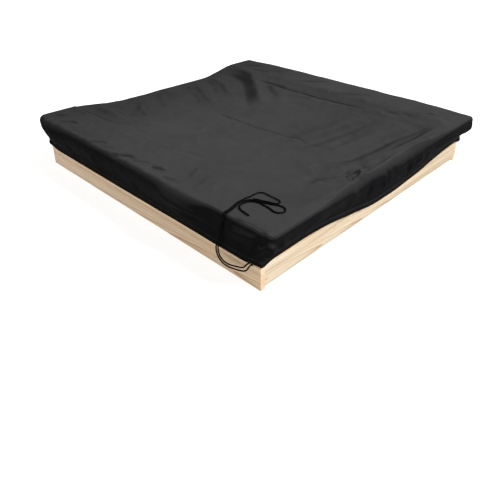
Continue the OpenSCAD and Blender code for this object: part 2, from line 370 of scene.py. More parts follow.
@dataclass(frozen=True)
class CoatedPolyester:
    """Plain-woven polyester with a matt water-repellent coating: black, with a dull bloom.

    Threads are drawn 1.2 mm apart, about three times as coarse as the real 0.4 mm, so that
    the weave shows in a close view. Cloth that faces up is painted paler, partly a dusting and
    mostly painted light: the top is painted brighter than the skirts, and the slopes of its
    wrinkles darker, as painted shade. Less of this pale tone is laid towards the left end, in blotches.
    """

    black: str = "#0F0F11"
    worn: str = "#171718"
    dust_and_top_light: str = "#535353"
    thread_mm: float = 1.2

    def build(self) -> bpy.types.Material:
        """Make the finish, which reads the piece's own UV map, and return it."""
        material, tree, shader = new_material("coated polyester weave")
        cloth = add_node(tree, "ShaderNodeUVMap", uv_map="cloth").outputs[0]
        place = add_node(tree, "ShaderNodeTexCoord").outputs["Object"]
        # A wave band repeats every 2 pi / 20 of its scale.
        wave_scale = 2 * math.pi / 20 / (self.thread_mm * MM)
        threads = [
            add_node(tree, "ShaderNodeTexWave", {"Vector": cloth, "Scale": wave_scale},
                     wave_type="BANDS", bands_direction=way, wave_profile="SIN").outputs["Fac"]
            for way in ("X", "Y")
        ]
        weave = add_node(
            tree, "ShaderNodeMath", {0: threads[0], 1: threads[1]}, operation="MAXIMUM"
        ).outputs[0]
        blotches = add_node(
            tree, "ShaderNodeTexNoise",
            {"Vector": place, "Scale": 6.0, "Detail": 5.0, "Roughness": 0.6},
        ).outputs["Fac"]
        worn = fill_ramp(
            add_node(tree, "ShaderNodeValToRGB", {0: blotches}),
            [(0.3, self.black), (0.72, self.worn)],
        )
        # Painted light: cloth that faces up gets the pale tone, most steeply near flat, so the top is
        # painted brighter than the skirts and wrinkle slopes darker as painted shade; a little of it
        # stands for a dusting.
        up = add_node(
            tree, "ShaderNodeSeparateXYZ",
            {0: add_node(tree, "ShaderNodeNewGeometry").outputs["Normal"]},
        ).outputs[2]
        faces_up_lit_and_dusty = add_node(
            tree, "ShaderNodeMath",
            {0: add_node(tree, "ShaderNodeMapRange",
                         {0: up, 1: 0.22, 2: 0.95, 3: 0.0, 4: 0.33}).outputs[0],
             1: add_node(tree, "ShaderNodeMapRange",
                         {0: up, 1: 0.90, 2: 1.0, 3: 0.0, 4: 0.23}).outputs[0]},
            operation="ADD",
        )
        # Less of the pale tone towards the left end, with blotches.
        across = add_node(tree, "ShaderNodeSeparateXYZ", {0: place}).outputs[0]
        spread = add_node(
            tree, "ShaderNodeMath",
            {0: add_node(tree, "ShaderNodeMapRange",
                         {0: across, 1: -0.62, 2: -0.15, 3: 0.62, 4: 1.0}).outputs[0],
             1: add_node(tree, "ShaderNodeMapRange",
                         {0: blotches, 1: 0.3, 2: 0.7, 3: 0.9, 4: 1.06}).outputs[0]},
            operation="MULTIPLY",
        ).outputs[0]
        amount = add_node(
            tree, "ShaderNodeMath", {0: faces_up_lit_and_dusty.outputs[0], 1: spread}, operation="MULTIPLY"
        ).outputs[0]
        # Lay the pale painted-light tone over the black and worn cloth.
        top_lit_dusty_colour = add_node(
            tree, "ShaderNodeMix",
            {0: amount, 6: worn, 7: linear(self.dust_and_top_light)},
            data_type="RGBA", blend_type="MIX",
        ).outputs[2]
        tree.links.new(top_lit_dusty_colour, shader.inputs["Base Color"])
        grit = add_node(
            tree, "ShaderNodeTexNoise", {"Vector": place, "Scale": 90.0, "Detail": 4.0}
        ).outputs["Fac"]
        tree.links.new(
            add_node(tree, "ShaderNodeMapRange", {0: grit, 3: 0.44, 4: 0.6}).outputs[0],
            shader.inputs["Roughness"],
        )
        creased = add_node(
            tree, "ShaderNodeTexNoise",
            {"Vector": place, "Scale": 14.0, "Detail": 3.0, "Roughness": 0.55,
             "Distortion": 0.6},
            noise_type="RIDGED_MULTIFRACTAL", normalize=True,
        ).outputs["Fac"]
        crinkled = add_node(
            tree, "ShaderNodeBump", {"Height": creased, "Strength": 0.7, "Distance": 6.0 * MM}
        ).outputs[0]
        fine = add_node(
            tree, "ShaderNodeBump",
            {"Height": weave, "Strength": 0.35, "Distance": 0.15 * MM, "Normal": crinkled},
        ).outputs[0]
        tree.links.new(
            add_node(tree, "ShaderNodeBump",
                     {"Height": grit, "Strength": 0.25, "Distance": 0.8 * MM,
                      "Normal": fine}).outputs[0],
            shader.inputs["Normal"],
        )
        shader.inputs["Specular IOR Level"].default_value = 0.002
        return material


@dataclass(frozen=True)
class BraidedCord:
    """Braided polyester cord: black, with 2.4 mm plaits that cross at a slant."""

    crest: str = "#141415"
    shaded_valley: str = "#050505"
    plait_mm: float = 2.4

    def build(self) -> bpy.types.Material:
        """Make the finish, which reads the piece's own UV map, and return it."""
        material, tree, shader = new_material("braided polyester cord")
        wound = add_node(tree, "ShaderNodeUVMap", uv_map="cord").outputs[0]
        wave_scale = 2 * math.pi / 20 / (self.plait_mm * MM)
        plaits = [
            add_node(
                tree, "ShaderNodeTexWave",
                {"Vector": add_node(tree, "ShaderNodeVectorRotate",
                                    {"Vector": wound, "Angle": math.radians(slant)},
                                    rotation_type="Z_AXIS").outputs[0],
                 "Scale": wave_scale},
                wave_type="BANDS", bands_direction="X", wave_profile="SIN",
            ).outputs["Fac"]
            for slant in (38, -38)
        ]
        braid = add_node(
            tree, "ShaderNodeMath", {0: plaits[0], 1: plaits[1]}, operation="MAXIMUM"
        ).outputs[0]
        # Painted shade: the braid's grooves are painted darker than its crests.
        tree.links.new(
            fill_ramp(add_node(tree, "ShaderNodeValToRGB", {0: braid}),
                      [(0.4, self.shaded_valley), (0.95, self.crest)]),
            shader.inputs["Base Color"],
        )
        tree.links.new(
            add_node(tree, "ShaderNodeMapRange", {0: braid, 3: 0.75, 4: 0.5}).outputs[0],
            shader.inputs["Roughness"],
        )
        tree.links.new(
            add_node(tree, "ShaderNodeBump",
                     {"Height": braid, "Strength": 0.8, "Distance": 0.35 * MM}).outputs[0],
            shader.inputs["Normal"],
        )
        shader.inputs["Specular IOR Level"].default_value = 0.01
        return material


@dataclass(frozen=True)
class SewingThread:
    """Twisted polyester sewing thread: black with a slight shine."""

    colour: str = "#1B1B1D"
    twist_mm: float = 0.6

    def build(self) -> bpy.types.Material:
        """Make the finish and return it."""
        material, tree, shader = new_material("polyester sewing thread")
        place = add_node(tree, "ShaderNodeTexCoord").outputs["Object"]
        twist = add_node(
            tree, "ShaderNodeTexWave",
            {"Vector": place, "Scale": 2 * math.pi / 20 / (self.twist_mm * MM)},
            wave_type="BANDS", bands_direction="DIAGONAL",
        ).outputs["Fac"]
        # Painted shade: the grooves of the twist are painted darker than its ridges.
        tree.links.new(
            fill_ramp(add_node(tree, "ShaderNodeValToRGB", {0: twist}),
                      [(0.2, "#0A0A0B"), (0.8, self.colour)]),
            shader.inputs["Base Color"],
        )
        tree.links.new(
            add_node(tree, "ShaderNodeBump",
                     {"Height": twist, "Strength": 0.5, "Distance": 0.1 * MM}).outputs[0],
            shader.inputs["Normal"],
        )
        shader.inputs["Roughness"].default_value = 0.45
        return material


@dataclass(frozen=True)
class StudioPaper:
    """The top of a light table: white, matt and lit from below, with a faint tooth."""

    colour: str = "#C4C4C3"
    glow: float = 0.78

    def build(self) -> bpy.types.Material:
        """Make the finish and return it."""
        material, tree, shader = new_material("studio paper")
        place = add_node(tree, "ShaderNodeTexCoord").outputs["Object"]
        tooth = add_node(
            tree, "ShaderNodeTexNoise", {"Vector": place, "Scale": 400.0, "Detail": 2.0}
        ).outputs["Fac"]
        tree.links.new(
            add_node(tree, "ShaderNodeBump",
                     {"Height": tooth, "Strength": 0.05, "Distance": 0.1 * MM}).outputs[0],
            shader.inputs["Normal"],
        )
        shader.inputs["Base Color"].default_value = linear(self.colour)
        shader.inputs["Emission Color"].default_value = linear("#FFFFFF")
        shader.inputs["Emission Strength"].default_value = self.glow
        shader.inputs["Roughness"].default_value = 0.9
        shader.inputs["Specular IOR Level"].default_value = 0.1
        return material


# ---- Studio ----------------------------------------------------------------


@dataclass
class Studio:
    """The floor, the lights and the camera."""

    camera_at: tuple[float, float, float] = (1.4083, -1.4458, 0.9706)
    azimuth_deg: float = 43.80
    pitch_deg: float = 25.84
    lens_mm: float = 37.82
    shift: tuple[float, float] = (-0.020, -0.1754)
    floor_size: float = 60.0
    key_from: tuple[float, float, float] = (0.80, 0.50, 0.86)
    key_power: float = 3.4
    fill: float = 0.45

    def build(self) -> None:
        """Set up the floor, the lights and the camera."""
        scene = bpy.context.scene
        scene.view_settings.view_transform = "Standard"
        self._floor()
        self._world()
        self._key()
        self._camera()

    def _floor(self) -> None:
        """Lay the pale floor."""
        half = self.floor_size / 2
        corners = np.array([[-half, -half, 0], [half, -half, 0], [half, half, 0], [-half, half, 0]])
        floor = mesh_piece("studio_floor", corners, [(0, 1, 2, 3)], smooth_faces=False)
        dress(floor, StudioPaper().build())

    def _world(self) -> None:
        """Light the scene evenly from all round."""
        world = bpy.data.worlds.new("studio_world")
        world.use_nodes = True
        background = world.node_tree.nodes["Background"]
        background.inputs["Color"].default_value = linear("#FFFFFF")
        background.inputs["Strength"].default_value = self.fill
        bpy.context.scene.world = world

    def _key(self) -> None:
        """Add the key light: a large, far soft box to the right, as a broad sun."""
        data = bpy.data.lights.new("key_right", "SUN")
        data.energy = self.key_power
        data.angle = math.radians(22)
        light = bpy.data.objects.new("key_right", data)
        light.rotation_euler = (-Vector(self.key_from)).to_track_quat("-Z", "Y").to_euler()
        bpy.context.scene.collection.objects.link(light)

    def _camera(self) -> None:
        """Place the camera."""
        data = bpy.data.cameras.new("camera")
        data.lens = self.lens_mm
        data.sensor_width = 36.0
        data.shift_x, data.shift_y = self.shift
        data.clip_end = 200.0
        camera = bpy.data.objects.new("camera", data)
        camera.location = self.camera_at
        camera.rotation_euler = (
            math.radians(90 - self.pitch_deg), 0.0, math.radians(self.azimuth_deg)
        )
        bpy.context.scene.collection.objects.link(camera)
        bpy.context.scene.camera = camera


# ---- Wood and screws -------------------------------------------------------


@dataclass
class SandboxFrame:
    """The wooden box with its benches and screws: CAD solids with their finishes."""

    nodes: dict[str, bpy.types.Object]
    arris: float = 1.3 * MM

    def dress_all(self) -> None:
        """Give every board, post, batten, bench and screw its finish."""
        zinc = YellowZinc().build()
        for number, name in enumerate(sorted(self.nodes)):
            node = self.nodes[name]
            if name.startswith("screws"):
                dress(node, zinc)
            elif name.startswith(("cover", "drawstring")):
                continue
            else:
                low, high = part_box(name)
                dress(node, self._pine_for(name).build(
                    name, self._grain_of(name), 31 + 7 * number, (low + high) / 2))
                arris = node.modifiers.new("arris", "BEVEL")
                arris.width = self.arris
                arris.segments = 2
                arris.limit_method = "ANGLE"
                arris.angle_limit = math.radians(50)
            LOG.info("dressed %s", name)

    @staticmethod
    def _grain_of(name: str) -> Grain:
        """Tell which way a node's grain runs."""
        if name.startswith(("corner_post", "batten")):
            return Grain.UPRIGHT
        if name.startswith(("left_board", "right_board")):
            return Grain.ALONG_Y
        return Grain.ALONG_X

    @staticmethod
    def _pine_for(name: str) -> PlanedPine:
        """Pick the tone of pine for a node."""
        if name.startswith(("left_board", "right_board")):
            return PlanedPine(pale="#CFC1AB", mid="#C5B294", dark="#AA8660")
        if name.startswith("bench"):
            return PlanedPine(pale="#E9D8BE", mid="#DDC6A4", dark="#BF966C", ring_mm=5.0)
        return PlanedPine()


# ---- Cloth cover -----------------------------------------------------------


class Profile(Enum):
    """The section of a fold in the cloth."""

    ROUND = "round"
    SHARP = "sharp"
    STEP = "step"


@dataclass(frozen=True)
class Fold:
    """One fold that is pressed or drawn into the cloth.

    Attributes:
        path: the points that it runs through, in metres.
        height: how far it stands proud, or lies sunk where it is negative.
        width: the half width of its section.
        profile: the section.
        taper: the share of its length over which each end fades.
        in_plan: whether distances are taken from above, for folds in the top.
    """

    path: tuple[tuple[float, float, float], ...]
    height: float
    width: float
    profile: Profile = Profile.ROUND
    taper: float = 0.25
    in_plan: bool = True

    @classmethod
    def flat(
        cls, height: float, width: float, *places: tuple[float, float],
        profile: Profile = Profile.ROUND, taper: float = 0.25,
    ) -> "Fold":
        """Make a fold in the top.

        Args:
            height: its height in millimetres.
            width: the half width of its section, in metres.
            places: the places that it runs through, seen from above.
            profile: the section.
            taper: the share of its length over which each end fades.

        Returns:
            The fold.
        """
        return cls(tuple((x, y, 0) for x, y in places), height * MM, width, profile, taper)

    @classmethod
    def free(
        cls, height: float, width: float, *points: tuple[float, float, float], taper: float = 0.25
    ) -> "Fold":
        """Make a fold in a skirt.

        Args:
            height: its height in millimetres.
            width: the half width of its section, in metres.
            points: the points that it runs through.
            taper: the share of its length over which each end fades.

        Returns:
            The fold.
        """
        return cls(points, height * MM, width, taper=taper, in_plan=False)

    def lift(self, points: np.ndarray) -> np.ndarray:
        """Work out how far each point moves along its normal.

        Args:
            points: the cloth's points, one row each.

        Returns:
            The move of each point, in metres.
        """
        moves = np.zeros(len(points))
        line = np.array(self.path, float)
        if self.in_plan:
            line = line * (1, 1, 0)
            points = np.where(points[:, 2:] > 0.14, points, 9.0) * (1, 1, 0)
        reach = 3.2 * self.width
        low, high = line.min(0) - reach, line.max(0) + reach
        near = np.flatnonzero(((points > low) & (points < high)).all(1))
        if len(near) == 0:
            return moves
        spot = points[near]
        lengths = np.linalg.norm(np.diff(line, axis=0), axis=1)
        whole, walked = lengths.sum(), 0.0
        best = np.full(len(near), np.inf)
        along = np.zeros(len(near))
        signed = np.zeros(len(near))
        for start, end, length in zip(line[:-1], line[1:], lengths):
            way = (end - start) / length
            t = np.clip((spot - start) @ way, 0, length)
            off = spot - start - t[:, None] * way
            gap = np.linalg.norm(off, axis=1)
            side = np.sign(way[0] * off[:, 1] - way[1] * off[:, 0])
            closer = gap < best
            best = np.where(closer, gap, best)
            along = np.where(closer, (walked + t) / whole, along)
            signed = np.where(closer, gap * side, signed)
            walked += length
        q = best / self.width
        if self.profile is Profile.ROUND:
            shape = np.exp(-q * q)
        elif self.profile is Profile.SHARP:
            shape = np.exp(-1.6 * q)
        else:
            shape = 2.33 * (signed / self.width) * np.exp(-q * q)
        fade = smooth(0, self.taper, along) * smooth(0, self.taper, 1 - along)
        moves[near] = self.height * shape * fade
        return moves


def edge_lift(x: np.ndarray, y: np.ndarray, bench_in: float) -> np.ndarray:
    """Tell how far the cover's side edges are lifted from the wall tops to the bench tops.

    The right side is drawn tight and rises over a long stretch; the left side is slack.

    Args:
        x: positions along X.
        y: positions along Y.
        bench_in: the distance of a bench's inner edge from the middle.

    Returns:
        A number for each position, 0 on the wall and 1 on the bench.
    """
    tight = smooth(bench_in - 0.33, bench_in + 0.012, np.abs(y))
    slack_back = 0.16 + 0.84 * smooth(bench_in - 0.23, bench_in + 0.04, y)
    slack_front = (
        0.16 + 0.34 * smooth(bench_in - 0.24, bench_in - 0.13, -y)
        + 0.50 * smooth(bench_in - 0.075, bench_in + 0.004, -y)
    )
    return np.where(x > 0, tight, np.where(y > 0, slack_back, slack_front))


def slack_lift(x: np.ndarray, y: np.ndarray) -> np.ndarray:
    """Tell how high the slack cloth stands over the benches.

    It lies flat where the drawstring's tails rest, at the front right.

    Args:
        x: positions along X.
        y: positions along Y.

    Returns:
        The height over the cloth's flat level, in metres.
    """
    front = 3.0 * MM * smooth(-0.63, -0.50, x) * (1 - smooth(0.33, 0.42, x))
    back = 6.0 * MM * smooth(-0.64, -0.45, x) * (1 - smooth(0.45, 0.64, x))
    return np.where(y < 0, front * smooth(0.40, 0.48, -y), back * smooth(0.40, 0.48, y))


@dataclass
class Membrane:
    """The height of slack cloth laid over two benches and two wall tops.

    It is the shape of a loaded skin: each point is the mean of its neighbours less a small
    load, and never lower than the wood under it.
    """

    bench_in: float
    bench_z: float
    wall_x: tuple[float, float]
    wall_z: float
    batten: tuple[float, float] = (0.562, 0.026)
    half: tuple[float, float] = (0.66, 0.624)
    cell: float = 0.012
    load: float = 0.000022
    rounds: int = 2600
    bend: int = 9

    def solve(self) -> tuple[np.ndarray, np.ndarray, np.ndarray]:
        """Relax the skin.

        Returns:
            The x values, the y values and the height at each pair.
        """
        xs = np.linspace(-self.half[0], self.half[0], int(2 * self.half[0] / self.cell) + 1)
        ys = np.linspace(-self.half[1], self.half[1], int(2 * self.half[1] / self.cell) + 1)
        x, y = np.meshgrid(xs, ys, indexing="ij")
        on_bench = edge_lift(x, y, self.bench_in)
        slack = slack_lift(x, y)
        edge_z = self.wall_z + (self.bench_z - self.wall_z) * on_bench + slack
        edge_z += np.where(x > 0, 0.0045 * (1 - on_bench), 0.0)
        held = (np.abs(x) > self.wall_x[1] - 0.004) | (np.abs(y) > 0.598)
        floor = np.where(np.abs(y) >= self.bench_in, self.bench_z + slack, -1.0)
        over_wall = (np.abs(x) >= self.wall_x[0]) & (np.abs(x) <= self.wall_x[1])
        over_wall |= (np.abs(x) >= self.batten[0]) & (np.abs(y) <= self.batten[1])
        floor = np.where(over_wall, np.maximum(floor, self.wall_z), floor)
        z = edge_z.copy()
        for _ in range(self.rounds):
            mean = z.copy()
            mean[1:-1, 1:-1] = (
                z[:-2, 1:-1] + z[2:, 1:-1] + z[1:-1, :-2] + z[1:-1, 2:]
            ) / 4 - self.load
            z = np.where(held, edge_z, np.maximum(mean, floor))
        # Cloth is too stiff to turn sharply at a bench's edge: it lifts off a little sooner.
        z = self._soften(z, held, self.bend)
        for _ in range(4):
            lack = np.maximum(0.0, floor - z)
            z = z + 2.2 * self._soften(lack, held, self.bend // 2)
        return xs, ys, z

    @staticmethod
    def _soften(field_: np.ndarray, held: np.ndarray, rounds: int) -> np.ndarray:
        """Average a field with its neighbours some rounds over.

        Args:
            field_: a number for each cell.
            held: the cells that keep their number.
            rounds: how often it is averaged.

        Returns:
            The softened field.
        """
        for _ in range(rounds):
            soft = field_.copy()
            soft[1:-1, 1:-1] = (
                4 * field_[1:-1, 1:-1] + field_[:-2, 1:-1] + field_[2:, 1:-1]
                + field_[1:-1, :-2] + field_[1:-1, 2:]
            ) / 8
            field_ = np.where(held, field_, soft)
        return field_

    def height_at(self, points: np.ndarray) -> np.ndarray:
        """Read the height at plan points.

        Args:
            points: rows of x and y.

        Returns:
            The height at each of them.
        """
        xs, ys, z = self.solve()
        fx = np.clip((points[:, 0] - xs[0]) / (xs[1] - xs[0]), 0, len(xs) - 1.001)
        fy = np.clip((points[:, 1] - ys[0]) / (ys[1] - ys[0]), 0, len(ys) - 1.001)
        i, j = fx.astype(int), fy.astype(int)
        u, v = fx - i, fy - j
        return (
            z[i, j] * (1 - u) * (1 - v) + z[i + 1, j] * u * (1 - v)
            + z[i, j + 1] * (1 - u) * v + z[i + 1, j + 1] * u * v
        )


class Side(IntEnum):
    """A side of the cover, in the order in which the skirt is walked."""

    FRONT = 0
    RIGHT = 1
    BACK = 2
    LEFT = 3


@dataclass
class FittedCover:
    """The cloth cover: one sheet over the top, down the sides and round the hem's channel."""

    bench_end: float = 0.645
    bench_out: float = 0.606
    bench_in: float = 0.456
    bench_top: float = 0.202
    bench_under: float = 0.180
    bench_corner: float = 0.015
    wall_out: float = 0.600
    wall_top: float = 0.180
    # Over the battens: from a little inside their inner faces, and a little past their sides.
    batten_from: float = 0.548
    batten_to_side: float = 0.036
    cloth_high: float = 0.2044
    cloth_low: float = 0.1826
    thickness: float = 0.8 * MM
    cells: tuple[int, int] = (132, 164)
    crease_rows: tuple[float, float, float] = (-0.155, -0.005, 0.384)
    hem_in: float = 0.6035
    front_hem_z: float = 0.0780
    side_hem_z: float = 0.0585
    end_hem_z: float = 0.0940
    noise_seed: float = 4.7
    arris_round: float = 3.0 * MM
    piece: bpy.types.Object | None = None
    ring: np.ndarray = field(default_factory=lambda: np.zeros((0, 0, 3)))

    # The hem's section, outward and upward from its inner lower corner, from the stitch
    # line down the outside, round the fold and up the inside.
    hem_section: tuple[tuple[float, float], ...] = (
        (0.0038, 0.0205), (0.0056, 0.0178), (0.0068, 0.0145), (0.0074, 0.0110),
        (0.0074, 0.0080), (0.0066, 0.0045), (0.0050, 0.0018), (0.0034, 0.0004),
        (0.0018, 0.0010), (0.0006, 0.0038), (0.0000, 0.0090), (0.0004, 0.0150),
        (0.0012, 0.0195),
    )
    shoulder_steps: int = 6
    skirt_steps: int = 22

    def build(self) -> bpy.types.Object:
        """Build the cloth and return it."""
        nx, ny = self.cells
        s = self._spread(nx, self.bench_end, [(-0.645, 0.09, 1.5), (0.645, 0.09, 1.8)])
        t = self._spread(ny, self.bench_out, [
            (-0.606, 0.09, 1.5), (0.606, 0.08, 1.2), (self.crease_rows[0], 0.038, 1.2),
            (self.crease_rows[1], 0.022, 1.4), (self.crease_rows[2], 0.020, 1.4),
        ])
        side, along = self._walk(s, t)
        shape = self._ring_shape(side, along)
        rows = self._skirt_rows(side, along, shape)
        top, top_index = self._top(s, t, rows[0])
        points, faces, corner_uv = self._assemble(top, top_index, rows, s, t, side, along)
        points = self._fold(points, faces)
        self.ring = points[len(top) :].reshape(len(rows) - 1, -1, 3)
        piece = mesh_piece("cover_cloth", points, faces)
        write_uv(piece, "cloth", corner_uv)
        thick = piece.modifiers.new("thickness", "SOLIDIFY")
        thick.thickness = self.thickness
        thick.offset = -1.0
        thick.use_even_offset = False
        self.piece = piece
        return piece

    @staticmethod
    def _spread(
        count: int, half: float, places: list[tuple[float, float, float]]
    ) -> np.ndarray:
        """Space a side's columns, closer together at the corners and the creases.

        Args:
            count: the number of cells along the side.
            half: half the side's length.
            places: where columns gather: the middle, the half width and how much more.

        Returns:
            The places, from -1 to 1.
        """
        fine = np.linspace(-1, 1, 4001)
        crowd = np.ones_like(fine)
        for middle, width, more in places:
            crowd += more * np.exp(-(((fine * half - middle) / width) ** 2))
        share = np.concatenate([[0], np.cumsum((crowd[1:] + crowd[:-1]) / 2)])
        return np.interp(np.linspace(0, share[-1], count + 1), share, fine)

    @staticmethod
    def _walk(s: np.ndarray, t: np.ndarray) -> tuple[np.ndarray, np.ndarray]:
        """List the columns round the cover, counter-clockwise from the front left corner.

        Args:
            s: places along X.
            t: places along Y.

        Returns:
            The side of each column and its place along it.
        """
        side = np.concatenate([
            np.full(len(s) - 1, 0), np.full(len(t) - 1, 1),
            np.full(len(s) - 1, 2), np.full(len(t) - 1, 3),
        ])
        along = np.concatenate([s[:-1], t[:-1], -s[:0:-1], -t[:0:-1]])
        return side, along

    @staticmethod
    def _outline(
        side: np.ndarray, along: np.ndarray, half_x: np.ndarray, half_y: np.ndarray,
        radius: np.ndarray,
    ) -> np.ndarray:
        """Find points on a rectangle with round corners.

        Args:
            side: the side of each column.
            along: its place along the side, counter-clockwise, from -1 to 1.
            half_x: half the rectangle's size along X, for each column.
            half_y: half its size along Y, for each column.
            radius: the corner radius, for each column.

        Returns:
            One row of x and y for each column.
        """
        lengthwise = (side % 2) == 0
        half_along = np.where(lengthwise, half_x, half_y)
        half_across = np.where(lengthwise, half_y, half_x)
        straight = half_along - radius
        walked = np.abs(along) * (straight + math.pi / 4 * radius)
        angle = np.clip((walked - straight) / np.maximum(radius, 1e-6), 0, math.pi / 4)
        a = np.sign(along) * np.where(
            walked > straight, straight + radius * np.sin(angle), walked
        )
        c = half_across - radius + radius * np.cos(angle)
        x = np.select([side == Side.FRONT, side == Side.RIGHT, side == Side.BACK], [a, c, -a], -c)
        y = np.select([side == Side.FRONT, side == Side.RIGHT, side == Side.BACK], [-c, a, c], -a)
        return np.stack([x, y], 1)

    def _ring_shape(self, side: np.ndarray, along: np.ndarray) -> dict[str, np.ndarray]:
        """Settle the sizes of the cover's section at each column.

        Args:
            side: the side of each column.
            along: its place along the side.

        Returns:
            The sizes by name, one number for each column.
        """
        lengthwise = (side % 2) == 0
        y = np.where(lengthwise, self.bench_out, np.abs(along) * 0.612)
        x = np.where(side == Side.FRONT, along, -along) * 0.648
        on_bench = np.where(
            lengthwise, 1.0, edge_lift(np.where(side == Side.RIGHT, 1.0, -1.0), y, self.bench_in)
        )
        # Slack along the front and back stands off the bench as a soft roll.
        roll_front = 0.0125 * (1 - smooth(0.32, 0.42, x))
        roll_front += 0.012 * np.exp(-(((x + 0.52) / 0.09) ** 2))
        roll_front *= smooth(-0.665, -0.595, x)
        roll_front += 0.009 * np.exp(-(((x - 0.26) / 0.10) ** 2))
        roll_back = 0.008 * smooth(-0.62, -0.3, -x) * smooth(-0.62, -0.3, x)
        roll = np.where(side == Side.FRONT, roll_front, np.where(side == Side.BACK, roll_back, 0.0))
        wave = np.array([
            noise.noise(Vector((k * 3.1 + self.noise_seed, float(u) * 6.0, 0.0)))
            for k, u in zip(side, along)
        ])
        out_x = 0.0130 * (1 - on_bench) + self.wall_out + on_bench * (
            self.bench_end + 0.0065 - self.wall_out
        )
        out_x = np.where(lengthwise, self.bench_end + 0.0065, out_x)
        out_x += np.where(lengthwise, 0.0, 0.0035 * (wave + 0.3) * (1 - on_bench))
        loose = np.where(side == Side.RIGHT, 1 - on_bench, 0.0)
        out_x += 0.010 * loose
        out_y = self.bench_out + 0.0065 + np.where(lengthwise, roll, 0.0)
        out_y += np.where(lengthwise, 0.002 * (wave + 0.4), 0.0)
        # A bench end takes cloth from the hem below it, so the hem is higher there.
        near_corner = smooth(0.02, 0.50, y)
        near_corner = np.where(
            side == Side.RIGHT,
            np.where(along < 0, smooth(0.0, 0.40, y), smooth(0.05, 0.60, y)),
            near_corner,
        )
        hem_z = np.where(
            lengthwise,
            self.front_hem_z + 0.010 * smooth(0.56, 0.648, np.abs(x)),
            self.side_hem_z + (self.end_hem_z - self.side_hem_z) * near_corner
            - 0.010 * smooth(0.56, 0.612, y),
        )
        hem_z = hem_z + np.where(lengthwise, 0.0012 * wave, 0.0040 * wave * (1 - 0.6 * near_corner))
        hem_out = self.hem_in + np.where(lengthwise, 0.0, 0.006 * (1 - near_corner))
        return {
            "out_x": out_x, "out_y": out_y, "on_bench": on_bench, "hem_z": hem_z,
            "hem_in": hem_out, "wave": wave,
            "shoulder": 0.0095 + 0.95 * roll + 0.006 * (1 - on_bench)
            + (0.018 + 0.005 * smooth(0.0, 0.15, along)) * loose,
            "top_z": self.cloth_low + (self.cloth_high - self.cloth_low) * on_bench
            + 0.0045 * loose
            + np.where(lengthwise, slack_lift(x, np.where(side == Side.FRONT, -0.6, 0.6)), 0.0),
            "lengthwise": lengthwise.astype(float),
        }

    def _skirt_rows(
        self, side: np.ndarray, along: np.ndarray, shape: dict[str, np.ndarray]
    ) -> list[np.ndarray]:
        """Place every row of the skirt, from the top's border to the inside of the hem.

        Args:
            side: the side of each column.
            along: its place along the side.
            shape: the sizes of the section at each column.

        Returns:
            The rows, each with one point for each column.
        """
        radius = shape["shoulder"]
        corner = np.full(len(side), 0.024)

        def level(inset: np.ndarray, z: np.ndarray) -> np.ndarray:
            plan = self._outline(
                side, along, shape["out_x"] - inset, shape["out_y"] - inset,
                np.maximum(corner - inset, 0.003),
            )
            return np.column_stack([plan, z])

        rows = []
        for angle in np.linspace(0, math.pi / 2, self.shoulder_steps + 1):
            rows.append(level(
                radius * (1 - math.sin(angle)),
                shape["top_z"] - radius * (1 - math.cos(angle)),
            ))
        start = rows[-1]
        section = np.array(self.hem_section)
        hem_radius = np.full(len(side), 0.006)

        def hem_row(out: float, up: float) -> np.ndarray:
            half = shape["hem_in"] + out
            plan = self._outline(side, along, half, half, hem_radius + out)
            return np.column_stack([plan, shape["hem_z"] + up])

        end = hem_row(*section[0])
        for step in range(1, self.skirt_steps + 1):
            v = step / self.skirt_steps
            z = start[:, 2] + (end[:, 2] - start[:, 2]) * v
            # Past a bench the cloth drops to the bench's underside before it draws in.
            drawn_bench = smooth(0.34, 1.04, np.full(len(side), v))
            drawn_mid = np.full(len(side), v) ** 0.8
            drawn = drawn_mid + (drawn_bench - drawn_mid) * shape["on_bench"]
            drawn = np.where(shape["lengthwise"] > 0, smooth(0.1, 1.08, np.full(len(side), v)), drawn)
            drawn = drawn / drawn.max() if step == self.skirt_steps else drawn
            plan = start[:, :2] + (end[:, :2] - start[:, :2]) * drawn[:, None]
            rows.append(np.column_stack([plan, z]))
        rows[-1] = end
        rows.extend(hem_row(out, up) for out, up in section[1:])
        return rows

    def _top(
        self, s: np.ndarray, t: np.ndarray, border: np.ndarray
    ) -> tuple[np.ndarray, np.ndarray]:
        """Fill the top panel inside its border.

        Args:
            s: places along X.
            t: places along Y.
            border: the border's points, counter-clockwise from the front left corner.

        Returns:
            The panel's points, and the number of the point at each pair of places.
        """
        nx, ny = len(s) - 1, len(t) - 1
        closed = np.vstack([border, border[:1]])
        front = closed[: nx + 1]
        right = closed[nx : nx + ny + 1]
        back = closed[nx + ny : 2 * nx + ny + 1][::-1]
        left = closed[2 * nx + ny :][::-1]
        u = ((s + 1) / 2)[:, None, None]
        v = ((t + 1) / 2)[None, :, None]
        panel = (
            (1 - v) * front[:, None, :] + v * back[:, None, :]
            + (1 - u) * left[None, :, :] + u * right[None, :, :]
            - (1 - u) * (1 - v) * front[0] - u * (1 - v) * front[-1]
            - (1 - u) * v * back[0] - u * v * back[-1]
        )
        skin = Membrane(self.bench_in, self.cloth_high, (self.wall_out - 0.018, self.wall_out),
                        self.cloth_low)
        flat = panel.reshape(-1, 3)
        flat[:, 2] = skin.height_at(flat[:, :2])
        panel = flat.reshape(nx + 1, ny + 1, 3)
        panel[:, 0], panel[:, -1], panel[0, :], panel[-1, :] = front, back, left, right
        index = np.arange((nx + 1) * (ny + 1)).reshape(nx + 1, ny + 1)
        return panel.reshape(-1, 3), index

